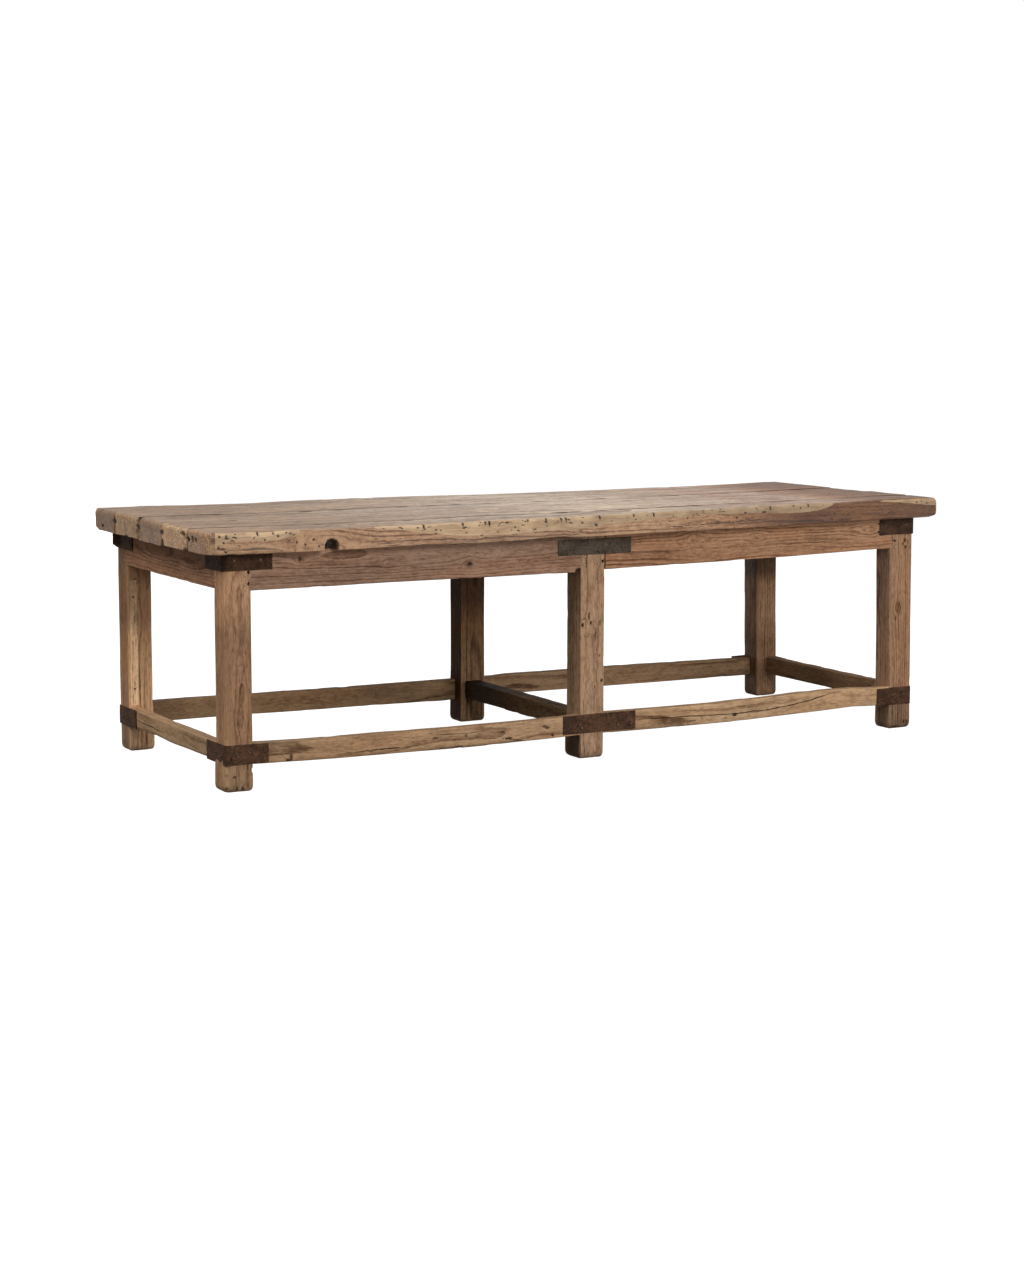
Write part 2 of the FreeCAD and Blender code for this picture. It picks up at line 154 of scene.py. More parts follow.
@dataclass
class Swell:
    """Hump of the growth rings under a face, which draws ovals on it: place, half sizes and height."""

    along: float
    across: float
    run: float
    width: float
    height: float


@dataclass
class Split:
    """Crack along the grain: points along and across the board, and its half width."""

    way: tuple
    width: float = 0.8


@dataclass
class Board:
    """Worn board along one axis. Its box is in metres, all else in millimetres of the table.

    Along the board is u, and v and w are the next two axes in turn. Values for four sides or
    corners start at the +v side, or at the corner before it, and go round by +w."""

    name: str
    axis: str
    low: np.ndarray
    high: np.ndarray
    seed: int
    # Tint and shade along the board hold painted light and shadow on some boards as well as their own
    # tone
    tint: tuple = (1.0, 1.0, 1.0)
    shade: tuple = ((0, 1), (1, 1))
    # Painted light and shade on each of the four sides
    painted_side_light: tuple = (1.0, 1.0, 1.0, 1.0)
    end_shade: tuple = (1.0, 1.0, 1.0)
    # The upper face's tone with a painted sheen
    upper_tone_and_sheen: tuple = ()
    step: float = 4.5
    side_step: tuple = (5.0, 5.0, 5.0, 5.0)
    radii: tuple = (3.0, 3.0, 3.0, 3.0)
    end_radii: tuple = (2.0, 2.0)
    end_insets: tuple = ((2.0, 2.0, 2.0), (2.0, 2.0, 2.0))
    end_rings: int = 6
    wear: float = 1.0
    chips: float = 3.0
    # Arrises rubbed pale, which on some legs also paints a highlight
    rub_and_highlight: float = 1.0
    pith: tuple = (70.0, 10.0)
    figure: float = 1.0
    ring_width: float = RING_WIDTH
    coarse: float = 1.0
    face: int = 1
    marks: list = field(default_factory=list)
    knots: list = field(default_factory=list)
    swells: list = field(default_factory=list)
    splits: list = field(default_factory=list)
    stations: tuple = ()
    plan_corners: tuple = ()
    # Sides in seams: painted shade on them, and a band beside them that is partly dirt
    dark_sides: tuple = ()
    edges: dict = field(default_factory=dict)
    # Painted highlight or shade along the long arrises
    painted_arris_light: float = 1.0
    bow: object = None
    warp: object = None
    sapwood: object = None
    sap_shade: tuple = ((0, 1), (1, 1))
    soil: object = None


def section_rings(half_v, half_w, radii, side_counts):
    """Outline of every ring, counterclockwise, with its outward directions and arris weights."""
    angles = np.linspace(0, np.pi / 2, ARC_STEPS)
    arcs, turns = [], []
    for corner, (sign_v, sign_w, start) in enumerate(CORNERS):
        radius = radii[:, corner, None]
        turn = angles + np.radians(start)
        arc_v = sign_v * (half_v[:, None] - radius) + radius * np.cos(turn)
        arc_w = sign_w * (half_w[:, None] - radius) + radius * np.sin(turn)
        arcs.append(np.stack((arc_v, arc_w), -1))
        turns.append(np.column_stack((np.cos(turn), np.sin(turn))))
    points, outward, arris = [], [], []
    for corner in range(4):
        ahead = arcs[(corner + 1) % 4]
        share = np.linspace(0, 1, side_counts[corner] + 2)[1:-1, None]
        side = arcs[corner][:, -1:] * (1 - share) + ahead[:, :1] * share
        length = np.linalg.norm(ahead[len(ahead) // 2, 0] - arcs[corner][len(ahead) // 2, -1])
        edge = np.minimum(share, 1 - share)[:, 0] * length
        points += [arcs[corner], side]
        outward += [turns[corner], np.tile(turns[corner][-1], (len(share), 1))]
        arris += [np.ones(ARC_STEPS), np.exp(-edge / ARRIS_REACH)]
    return np.concatenate(points, 1), np.concatenate(outward), np.concatenate(arris)


def ring_faces(rings, around):
    """Quads between neighbouring rings, and a fan that closes each end."""
    index = np.arange(rings * around).reshape(rings, around)
    beside = np.roll(index, -1, axis=1)
    quads = np.stack((index[:-1], beside[:-1], beside[1:], index[1:]), -1).reshape(-1, 4)
    first, last = rings * around, rings * around + 1
    start = [(first, int(b), int(a)) for a, b in zip(index[0], beside[0])]
    end = [(int(a), int(b), last) for a, b in zip(index[-1], beside[-1])]
    return quads.tolist() + start + end


def ring_plan(length, board):
    """Place along the board, insets, scale and end weight of every ring, end caps included.

    The insets of an end are those of its two sides (v), its upper side (+w) and its lower side (-w)."""
    turn = np.linspace(0, np.pi / 2, ARC_STEPS)[1:]
    shrink = np.linspace(1, 0, board.end_rings + 2)[1:-1]
    ends = []
    for radius, insets in zip(board.end_radii, board.end_insets):
        along = np.concatenate((radius * (np.sin(turn) - 1), np.zeros(len(shrink)))) * MM
        drawn = np.concatenate((1 - np.cos(turn), np.ones(len(shrink)))) * MM
        scale = np.concatenate((np.ones(len(turn)), shrink))
        tip = np.concatenate((np.sin(turn), np.ones(len(shrink))))
        ends.append(np.stack((along + length / 2, *(drawn * inset for inset in insets), scale, tip)))
    first, last = ends
    first = first[:, ::-1] * np.array((-1, 1, 1, 1, 1, -1))[:, None]
    start, end = (radius * MM for radius in board.end_radii)
    count = max(2, round((length - start - end) / (board.step * MM)))
    body = np.linspace(start - length / 2, length / 2 - end, count + 1)
    body = np.unique(np.concatenate((body, np.array(board.stations) * MM)))
    zero, one = np.zeros(len(body)), np.ones(len(body))
    return np.concatenate((first, np.stack((body, zero, zero, zero, one, zero)), last), 1)


def corner_radii(along, board):
    """Radii of the four corners of every ring."""
    cells = np.stack((along * RADIUS_CELLS, np.full(len(along), board.seed), np.zeros(len(along))), -1)
    radii = np.empty((len(along), 4))
    for corner, radius in enumerate(board.radii):
        sway = lattice_noise(cells + (0, 0, CORNER_APART * corner), board.seed)
        radii[:, corner] = radius * MM * np.clip(1 + RADIUS_SWAY * sway * board.wear, *RADIUS_LIMITS)
    return radii


class Blank:
    """Points of a board before wear, round its own middle, with their outward directions.

    Each point also has its weight at an end, at a long arris and at any arris."""

    def __init__(self, board):
        u_axis = "xyz".index(board.axis)
        self.order = [u_axis, (u_axis + 1) % 3, (u_axis + 2) % 3]
        low, high = np.array(board.low)[self.order], np.array(board.high)[self.order]
        self.size, self.middle = high - low, (low + high) / 2
        half_u, half_v, half_w = self.size / 2
        along, inset_side, inset_upper, inset_lower, scale, tip = ring_plan(self.size[0], board)
        ring_v = (half_v - inset_side) * scale
        ring_w = (half_w - (inset_upper + inset_lower) / 2) * scale
        drop = (inset_lower - inset_upper) / 2
        fit = np.minimum(ring_v, ring_w)[:, None] * LARGEST_RADIUS_SHARE
        radii = corner_radii(along, board) - inset_side[:, None]
        radii = np.minimum(np.maximum(radii, SMALLEST_RADIUS), fit)
        spans = zip((half_w, half_v, half_w, half_v), board.side_step)
        counts = [max(1, round(2 * half / (step * MM)) - 1) for half, step in spans]
        outline, turns, arris = section_rings(ring_v, ring_w, radii, counts)
        outline[:, :, 1] += drop[:, None]

        self.rings, self.around = len(along), len(turns)
        shape = (self.rings, self.around, 1)
        spread = np.broadcast_to(along[:, None, None], shape)
        local = np.concatenate((spread, outline), -1).reshape(-1, 3)
        tips = np.broadcast_to(tip[:, None, None], shape)
        outward = np.concatenate((tips, turns[None] * np.sqrt(1 - tips**2)), -1).reshape(-1, 3)
        self.local = np.concatenate((local, [[-half_u, 0, drop[0]], [half_u, 0, drop[-1]]]))
        self.outward = np.concatenate((outward, [[-1, 0, 0], [1, 0, 0]]))
        self.end = np.abs(np.concatenate((tip.repeat(self.around), [-1, 1])))
        on_body = scale.repeat(self.around) > 0.999
        self.long_arris = np.concatenate((np.tile(arris, self.rings) * on_body, [0, 0]))
        self.arris = np.maximum(self.long_arris, 4 * self.end * (1 - self.end))
        self.table = self.placed(self.local)
        self.spot = self.local[:, 0] + self.middle[0]
        across = 3 - board.face
        self.side = self.local[:, across] + self.middle[across]

    def full(self, value):
        """One value for every point."""
        return np.full(len(self.local), value)

    def turned(self, vectors):
        """Vectors of the board in the table's own axes."""
        table = np.empty_like(vectors)
        table[:, self.order] = vectors
        return table

    def placed(self, points):
        """Points of the board where they are on the table."""
        return self.turned(points + self.middle)


def wear_push(blank, board):
    """How far wear pushes each point outward: hollows, small unevenness and chipped arrises."""
    sway = blank.full(0.0)
    for number, (height, cells) in enumerate(HOLLOWS, 1):
        sway += height * lattice_noise(blank.local * cells, board.seed + number)
    chip = lattice_noise(blank.local * CHIP_CELLS, board.seed + len(HOLLOWS) + 1) - CHIP_START
    return sway * board.wear * MM - np.clip(chip, 0, 1) * blank.arris * board.chips * MM


def cut_marks(blank, board, push):
    """The push with the marks sunk into it, and how dark the marks and seams make each point: painted
    shade on the sides in the seams, and beside them a band that is partly dirt and partly painted shade.
    """
    dark = blank.full(0.0)
    for mark in board.marks:
        reach = (blank.table - np.array(mark.place) * MM) / (np.array(mark.half) * MM)
        reach = np.linalg.norm(reach, axis=1)
        push = push - fade(reach, *MARK_SINK) * mark.depth * MM
        dark = np.maximum(dark, fade(reach, *MARK_DARK) * mark.dark)
    # Painted shade on the sides in the seams, and a patchy band beside them, partly dirt and partly
    # painted shade
    for side in board.dark_sides:
        dark = np.maximum(dark, SEAM_SIDE_DARK * fade(blank.outward[:, 1] * side, *SEAM_SIDE_TURN))
        inward = blank.size[1] / 2 - blank.local[:, 1] * side
        beside = fade(inward, SEAM_DIRT_AND_SHADE, 0) * fade(blank.outward[:, 2], *SEAM_FACE_TURN)
        patchy = fade(lattice_noise(blank.local * SEAM_PATCHES, board.seed + 5), *SEAM_LEVELS)
        dark = np.maximum(dark, SEAM_FACE_DARK * beside * patchy)
    return push, dark


def round_corner(points, half, end_sign, side_sign, radius):
    """Bends a square corner of the plan round."""
    signs = np.array((end_sign, side_sign))
    centre = (half - radius) * signs
    reach = (points - centre) * signs
    inside = (reach > 0).all(1)
    corner = reach[inside]
    scale = corner.max(1) / np.maximum(np.linalg.norm(corner, axis=1), 1e-9)
    shape = points.copy()
    shape[inside] = centre + corner * scale[:, None] * signs
    return shape


def worn_points(blank, board, push):
    """Points of the worn board on the table: rounded, bowed, its edges out of line, and warped."""
    moved = blank.local + blank.outward * push[:, None]
    for end_sign, side_sign, radius in board.plan_corners:
        moved[:, :2] = round_corner(moved[:, :2], blank.size[:2] / 2, end_sign, side_sign, radius * MM)
    if board.bow:
        moved[:, 1:] += board.bow(moved[:, 0] + blank.middle[0])
    for side, line in board.edges.items():
        run = "uvw".index(side[1])
        by = 0 if run else 1
        share = np.clip(0.5 + blank.local[:, run] / blank.size[run], 0, 1)
        weight = share if side[0] == "+" else 1 - share
        moved[:, run] += weight * along_line(blank.local[:, by] + blank.middle[by], line) * MM
    table = blank.placed(moved)
    return board.warp(table) if board.warp else table


def grain_and_knots(blank, board):
    """Place of each point in the log, swung round the knots, and how near it is to a knot's eye."""
    grain = blank.local - (0, board.pith[0] * MM, board.pith[1] * MM)
    nearest = blank.full(NO_KNOT)
    across = 3 - board.face
    for knot in board.knots:
        radius = knot.radius * MM
        d_along, d_across = blank.spot - knot.along * MM, blank.side - knot.across * MM
        spread = (d_along / KNOT_DRAWN) ** 2 + d_across**2
        grain[:, across] -= d_across * KNOT_PUSH * radius**2 / (spread + radius**2)
        eye = np.sqrt((d_along / EYE_DRAWN) ** 2 + d_across**2) / radius
        nearest = np.minimum(nearest, eye + NO_KNOT * (1 - knot.eye))
    for swell in board.swells:
        d_along = (blank.spot / MM - swell.along) / swell.run
        d_across = (blank.side / MM - swell.across) / swell.width
        grain[:, board.face] += swell.height * MM * np.exp(-(d_along**2) - d_across**2)
    grain[:, 0] += GRAIN_APART * board.seed
    return grain, nearest


def nearest_split(blank, board):
    """Distance of each point from the nearest split, and that split's half width there."""
    split, split_open = blank.full(1.0), blank.full(-1.0)
    for crack in board.splits:
        gap = blank.side - along_line(blank.spot, crack.way) * MM
        start, end = crack.way[0][0] * MM, crack.way[-1][0] * MM
        ends = np.minimum(blank.spot - start, end - blank.spot) / SPLIT_TAPER
        wide = np.where(np.abs(gap) < SPLIT_AWAY, crack.width * np.clip(ends, -1, 1), -9) * MM
        nearer = np.abs(gap) < np.abs(split)
        split, split_open = np.where(nearer, gap, split), np.where(nearer, wide, split_open)
    return split, split_open


def board_tint(blank, board):
    """Tint of each point: along the board, by side, at its ends and along its arrises, painting light and
    shade on some boards as well as their tone.
    """
    shade = tints_along(blank.spot, board.shade)
    # The upper face takes its own tone with a painted sheen
    if board.upper_tone_and_sheen:
        upward = fade(blank.turned(blank.outward)[:, 2], *UPWARD_TURN)[:, None]
        shade = shade * (1 - upward) + tints_along(blank.spot, board.upper_tone_and_sheen) * upward
    tint = np.array(board.tint) * shade
    tint = tint * (1 + (np.array(board.end_shade) - 1) * blank.end[:, None])
    _, toward_v, toward_w = blank.outward.T
    # Each side is lightened or darkened as painted light and shade
    for way, painted_face_light in zip((toward_v, toward_w, -toward_v, -toward_w), board.painted_side_light):
        tint = tint * (1 + (np.array(painted_face_light) - 1) * fade(way, *SIDE_TURN)[:, None])
    # Painted highlight or shade along the long arrises
    return tint * (1 + (board.painted_arris_light - 1) * blank.long_arris[:, None])


def attribute(mesh, name, values):
    """Stores one value, or one vector, for each point of a mesh."""
    values = np.asarray(values, np.float32)
    kind, key = ("FLOAT_VECTOR", "vector") if values.ndim == 2 else ("FLOAT", "value")
    mesh.attributes.new(name, kind, "POINT").data.foreach_set(key, values.ravel())


def board_mesh(board):
    """Mesh of a worn board with the attributes that its finish reads."""
    blank = Blank(board)
    push, dark = cut_marks(blank, board, wear_push(blank, board))
    grain, knot = grain_and_knots(blank, board)
    split, split_open = nearest_split(blank, board)
    mesh = bpy.data.meshes.new(board.name)
    points = worn_points(blank, board, push).tolist()
    mesh.from_pydata(points, [], ring_faces(blank.rings, blank.around))
    mesh.polygons.foreach_set("use_smooth", np.ones(len(mesh.polygons), bool))
    stored = {
        "grain": grain,
        "tint": board_tint(blank, board),
        "dark": dark,
        "rub_and_highlight": blank.arris * board.rub_and_highlight,
        "figure": blank.full(board.figure),
        "ring_width": blank.full(board.ring_width * MM),
        "coarse": blank.full(board.coarse),
        "end_grain": blank.end,
        "knot": knot,
        "split": split,
        "split_open": split_open,
        "sapwood": board.sapwood(blank.table) if board.sapwood else blank.full(-1.0),
        "sap_shade": along_line(blank.spot, board.sap_shade),
        "soil": board.soil(blank.table) if board.soil else blank.full(0.0),
    }
    for name, values in stored.items():
        attribute(mesh, name, values)
    mesh.update()
    return mesh


# Node trees


class Value:
    """Output of a node, which is added, subtracted, multiplied and divided like a number."""

    def __init__(self, bench, socket):
        self.bench, self.socket = bench, socket

    def __add__(self, other):
        return self.bench.math("ADD", self, other)

    def __sub__(self, other):
        return self.bench.math("SUBTRACT", self, other)

    def __rsub__(self, other):
        return self.bench.math("SUBTRACT", other, self)

    def __mul__(self, other):
        return self.bench.math("MULTIPLY", self, other)

    def __truediv__(self, other):
        return self.bench.math("DIVIDE", self, other)

    def __abs__(self):
        return self.bench.math("ABSOLUTE", self)


@dataclass
class Texture:
    """Noise in cells per metre along and across the grain, and the levels between which it shows."""

    cells: tuple
    detail: float = 2.0
    roughness: float = 0.5
    levels: tuple = (0.0, 1.0)


class Bench:
    """Short ways to lay nodes in a tree. What feeds a node is a value, a socket or a constant."""

    def __init__(self, tree):
        self.tree = tree

    def feed(self, socket, value):
        if isinstance(value, Value):
            value = value.socket
        if isinstance(value, bpy.types.NodeSocket):
            self.tree.links.new(value, socket)
        else:
            socket.default_value = value

    def node(self, kind, inputs=None, **settings):
        made = self.tree.nodes.new(kind)
        for key, value in settings.items():
            setattr(made, key, value)
        for key, value in (inputs or {}).items():
            self.feed(made.inputs[key], value)
        return made

    def out(self, kind, inputs=None, output=0, **settings):
        return Value(self, self.node(kind, inputs, **settings).outputs[output])

    def math(self, operation, first, second=0.0):
        return self.out("ShaderNodeMath", {0: first, 1: second}, operation=operation)

    def most(self, first, *others):
        for other in others:
            first = self.math("MAXIMUM", first, other)
        return first

    def vector(self, operation, first, second=(0, 0, 0)):
        output = "Value" if operation == "LENGTH" else "Vector"
        return self.out("ShaderNodeVectorMath", {0: first, 1: second}, output, operation=operation)

    def combine(self, x=0.0, y=0.0, z=0.0):
        return self.out("ShaderNodeCombineXYZ", {0: x, 1: y, 2: z})

    def cloud(self, vector, texture, output=0):
        """Noise of a texture."""
        scaled = self.vector("MULTIPLY", vector, texture.cells)
        inputs = {"Vector": scaled, "Scale": 1.0}
        inputs.update({"Detail": texture.detail, "Roughness": texture.roughness})
        return self.out("ShaderNodeTexNoise", inputs, output)

    def patches(self, vector, texture):
        """Noise of a texture, faded in between its levels."""
        return self.fade(self.cloud(vector, texture), *texture.levels)

    def sway(self, vector, cells, reach):
        """The vector pushed sideways by noise, up to half the reach."""
        push = self.vector("SUBTRACT", self.cloud(vector, Texture(cells), 1), (0.5, 0.5, 0.5))
        return self.vector("ADD", vector, self.vector("MULTIPLY", push, (0, reach, reach)))

    def fade(self, value, low, high):
        inputs = {"Value": value, "From Min": low, "From Max": high}
        return self.out("ShaderNodeMapRange", inputs, interpolation_type="SMOOTHSTEP")

    def mix(self, share, first, second, way="MIX"):
        inputs = {0: share, 6: first, 7: second}
        return self.out("ShaderNodeMix", inputs, 2, data_type="RGBA", blend_type=way)

    def tinted(self, colour, tint):
        return self.mix(1.0, colour, tint, "MULTIPLY")

    def ramp(self, value, *stops):
        made = self.node("ShaderNodeValToRGB", {0: value})
        band = made.color_ramp
        while len(band.elements) < len(stops):
            band.elements.new(0.5)
        for element, (place, colour) in zip(band.elements, stops):
            element.position, element.color = place, colour
        return Value(self, made.outputs[0])

    def stored(self, name, output="Fac"):
        return self.out("ShaderNodeAttribute", output=output, attribute_name=name)

    def stored_vector(self, name):
        return self.stored(name, "Vector")


def paint(red, green, blue):
    """Colour written as 0 to 255, for a shader."""
    linear = [((part / 255 + 0.055) / 1.055) ** 2.4 for part in (red, green, blue)]
    return (*linear, 1.0)


def new_material(name):
    """New material, the bench for its nodes, and its shader."""
    material = bpy.data.materials.new(name)
    material.use_nodes = True
    bench = Bench(material.node_tree)
    return material, bench, material.node_tree.nodes["Principled BSDF"]


def raise_relief(bench, surface, height, distance, strength):
    """Bumps a surface by a height from 0 to 1."""
    inputs = {"Height": height, "Distance": distance, "Strength": strength}
    bench.feed(surface.inputs["Normal"], bench.out("ShaderNodeBump", inputs))


# Finishes

SAP_LIGHT, SAP_DARK = paint(184, 155, 120), paint(140, 111, 82)
SOIL = paint(62, 50, 40)
CRACK = paint(26, 18, 13)
WARMER = (1.06, 0.98, 0.92, 1)

# Bends of the grain, from long to short: cells per metre along and across, and reach
GRAIN_BENDS = (
    ((0.8, 4, 4), 0.030), ((2.6, 9, 9), 0.016), ((4.5, 16, 16), 0.007), ((24, 60, 60), 0.0016),
)

# Growth rings: how the radius grows along the log, and a dark late line's rise and fall in a ring.
# Rings differ in strength by their radius, in these cells per metre, and along the log.
RING_TAPER = 0.009
LATE_RISE, LATE_FALL = (0.40, 0.93), (0.94, 1.0)
SHELL_CELLS = 70.0
RING_MOOD = Texture((1, 0.7, 1), levels=(0.38, 0.62))

# Textures of wood
FIBRE = Texture((7, 380, 380), 3.0, 0.6)
STREAK = Texture((1.1, 36, 36), 3.0, 0.6, (0.47, 0.6))
BLOTCH = Texture((2.6, 9, 9), 3.0, 0.6, (0.35, 0.65))
MOTTLE = Texture((16, 40, 40), 3.0, 0.6, (0.46, 0.66))
PORES = Texture((42, 460, 460), 1.0, levels=(0.60, 0.70))
THREADS, THREAD_EDGE = Texture((3.4, 105, 105), 1.0), (0.03, 0.006)
GRIT = Texture((48, 170, 170), 2.0, 0.65)
CHECKS = Texture((7, 170, 170), 1.0, levels=(0.69, 0.72))
SPECKS = Texture((50, 160, 160), 1.0, levels=(0.68, 0.73))
DOTS = Texture((130, 170, 170), 1.0, levels=(0.64, 0.74))
WARMTH = Texture((1.7, 14, 14), levels=(0.35, 0.65))
SAW_MARKS = Texture((1, 130, 130), 3.0, 0.7, (0.38, 0.66))
STAINS = Texture((1.5, 27, 27), 4.0, 0.7, (0.50, 0.62))
WORM_DOTS = Texture((60, 130, 130), 1.0, levels=(0.67, 0.71))

# Borders that stray: the noise they follow, how far in metres, and their soft edge
SAP_BORDER, SAP_STRAY, SAP_EDGE = Texture((24, 60, 60)), 0.006, (-0.0006, 0.0012)
SPLIT_WOBBLE, SPLIT_STRAY, SPLIT_EDGE = Texture((26, 60, 60), 3.0, 0.6), 0.009, (-0.0007, 0.0003)

# Knots, in radii of the eye: its soft edge and the stain round it, then the rings in it
EYE_EDGE, EYE_STAIN = (1.15, 0.7), (2.4, 1.0)
EYE_RINGS, EYE_RING = 3.0, (0.2, 0.9)

# Textures of iron
RUST_CLOUD = Texture((22, 22, 34), 4.0, 0.6, (0.36, 0.64))
RUST_GRIT = Texture((240, 240, 240), 3.0, 0.6, (0.45, 0.65))
RUST_STAIN = Texture((70, 70, 90), 3.0, 0.55, (0.54, 0.7))
RUST_PITS = Texture((150, 150, 150), 1.0, levels=(0.62, 0.70))

# Height on a domed head, from 0 to 1: the dark rim of a peg and of a nail; on a nail it is painted shade
# round the head
PEG_RIM, NAIL_RIM = (0.8, 0.45), (0.25, 0.75)

# Depth in metres and strength of the relief
WOOD_RELIEF, IRON_RELIEF = (0.0016, 0.7), (0.002, 0.6)

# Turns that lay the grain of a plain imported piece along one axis
GRAIN_TURNS = {"x": (0, 0, 0), "y": (0, 0, -math.pi / 2), "z": (0, math.pi / 2, 0)}


def packed_grain(bench, axis):
    """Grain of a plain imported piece, from its own place."""
    place = bench.out("ShaderNodeTexCoord", output="Object")
    return bench.out("ShaderNodeMapping", {"Vector": place, "Rotation": GRAIN_TURNS[axis]})


def late_wood(bench, bent, board):
    """Growth rings round a pith that wanders, each with a thin dark late line."""
    run = bench.out("ShaderNodeSeparateXYZ", {0: bent})
    radius = bench.vector("LENGTH", bench.vector("MULTIPLY", bent, (0, 1, 1))) + run * RING_TAPER
    ring_width = bench.stored("ring_width") if board else RING_WIDTH * MM
    phase = bench.math("FRACT", radius / ring_width)
    late = bench.fade(phase, *LATE_RISE) - bench.fade(phase, *LATE_FALL)
    shell = bench.combine(radius * SHELL_CELLS, run)
    mood = bench.patches(shell, RING_MOOD)
    late = late * (mood * 0.85 + 0.15)
    return late * bench.stored("figure") if board else late


def knotted(bench, colour, deep):
    """Dark eyes of knots with their own rings."""
    knot = bench.stored("knot")
    eye_ring = bench.fade(bench.math("FRACT", knot * EYE_RINGS), *EYE_RING)
    eye = bench.fade(knot, *EYE_EDGE) * (eye_ring * 0.35 + 0.3)
    colour = bench.mix(eye, colour, deep)
    return bench.mix(bench.fade(knot, *EYE_STAIN) * 0.2, colour, deep)


def handled_and_tinted(bench, grain, colour, pale, deep, blotch, mottle):
    """End grain that soaks up dirt, arrises rubbed pale with a painted highlight on some, the board's
    tint with the painted light and shade it holds, and soil.
    """
    sawn = bench.patches(grain, SAW_MARKS)
    colour = bench.mix(bench.stored("end_grain") * (sawn * 0.7), colour, deep)
    # Pale rubbed arrises, partly a painted highlight
    rub_and_highlight = bench.stored("rub_and_highlight") * bench.fade(blotch, *BLOTCH.levels)
    colour = bench.mix(rub_and_highlight * 0.4, colour, pale)
    colour = bench.tinted(colour, bench.stored_vector("tint"))
    stain = bench.patches(grain, STAINS)
    stain = bench.most(stain, bench.fade(mottle, *MOTTLE.levels) * 0.45)
    return bench.mix(bench.stored("soil") * stain, colour, SOIL)


def with_sapwood(bench, grain, colour, hole, fibre, mottle):
    """Sapwood along an outer edge of the log, with a ragged border, few checks and worm holes."""
    border = bench.cloud(grain, SAP_BORDER) - 0.5
    sap = bench.fade(bench.stored("sapwood") + border * SAP_STRAY, *SAP_EDGE)
    sap_colour = bench.mix(bench.fade(fibre * 0.6 + mottle * 0.6, 0.42, 0.85), SAP_LIGHT, SAP_DARK)
    sap_colour = bench.tinted(sap_colour, bench.stored_vector("sap_shade"))
    worms = bench.patches(grain, WORM_DOTS)
    hole = hole * (1.0 - sap * 0.85) + worms * sap
    return bench.mix(sap, colour, sap_colour), hole


def with_splits(bench, grain, hole):
    """Holes of the wood joined by the board's splits and marks."""
    wobble = bench.cloud(grain, SPLIT_WOBBLE) - 0.5
    line = abs(bench.stored("split") + wobble * SPLIT_STRAY)
    split = bench.fade(bench.stored("split_open") - line, *SPLIT_EDGE)
    return bench.most(hole, split, bench.stored("dark"))


def timber(name, pale, middle, deep, rough, shine, pitted, grain_axis=None, crowned=False):
    """Old oiled wood: growth rings, fibre, pores and checks, and the wear stored on a board.

    With a grain axis the grain comes from the object's own place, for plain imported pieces.
    A crowned piece is a peg, dark round its rim."""
    material, bench, surface = new_material(name)
    board = grain_axis is None
    grain = bench.stored_vector("grain") if board else packed_grain(bench, grain_axis)
    bent = grain
    for cells, reach in GRAIN_BENDS:
        bent = bench.sway(bent, cells, reach)

    late = late_wood(bench, bent, board)
    fibre, streak = bench.cloud(bent, FIBRE), bench.cloud(bent, STREAK)
    blotch, mottle = bench.cloud(grain, BLOTCH), bench.cloud(grain, MOTTLE)
    pores = bench.patches(bent, PORES)
    thread = bench.fade(abs(bench.cloud(bent, THREADS) - 0.5), *THREAD_EDGE)
    thread = thread * bench.fade(streak, *STREAK.levels)
    grit = bench.cloud(bent, GRIT)

    tone = late * 0.62 + 0.22
    tone = tone + (fibre - 0.5) * 0.8 + (streak - 0.5) * 0.6 + (blotch - 0.5) * 0.8
    coarse = (grit - 0.5) * 1.4 + (mottle - 0.5) * 0.9 + thread * 0.25
    tone = tone + (coarse * bench.stored("coarse") if board else coarse)
    colour = bench.ramp(tone, (0.0, pale), (0.42, middle), (1.0, deep))
    warm = bench.patches(grain, WARMTH)
    colour = bench.mix(warm, colour, bench.tinted(colour, WARMER))
    colour = bench.mix(pores * 0.4, colour, deep)

    checks, specks = bench.patches(bent, CHECKS), bench.patches(bent, SPECKS)
    dots = bench.patches(grain, DOTS) * 0.5
    hole = bench.most(checks, specks, dots) * pitted
    if board:
        colour = knotted(bench, colour, deep)
        colour = handled_and_tinted(bench, grain, colour, pale, deep, blotch, mottle)
        hole = hole * bench.stored("coarse")
        colour, hole = with_sapwood(bench, grain, colour, hole, fibre, mottle)
        hole = with_splits(bench, grain, hole)
    if crowned:
        hole = bench.most(hole, bench.fade(bench.stored("crown"), *PEG_RIM))

    bench.feed(surface.inputs["Base Color"], bench.mix(hole, colour, CRACK))
    bench.feed(surface.inputs["Roughness"], fibre * 0.25 + (mottle * 0.2 + rough))
    surface.inputs["Specular IOR Level"].default_value = shine
    relief = fibre * 0.5 - late * 0.12 + mottle * 0.6 - (hole * 1.2 + pores * 0.25)
    raise_relief(bench, surface, relief, *WOOD_RELIEF)
    return material


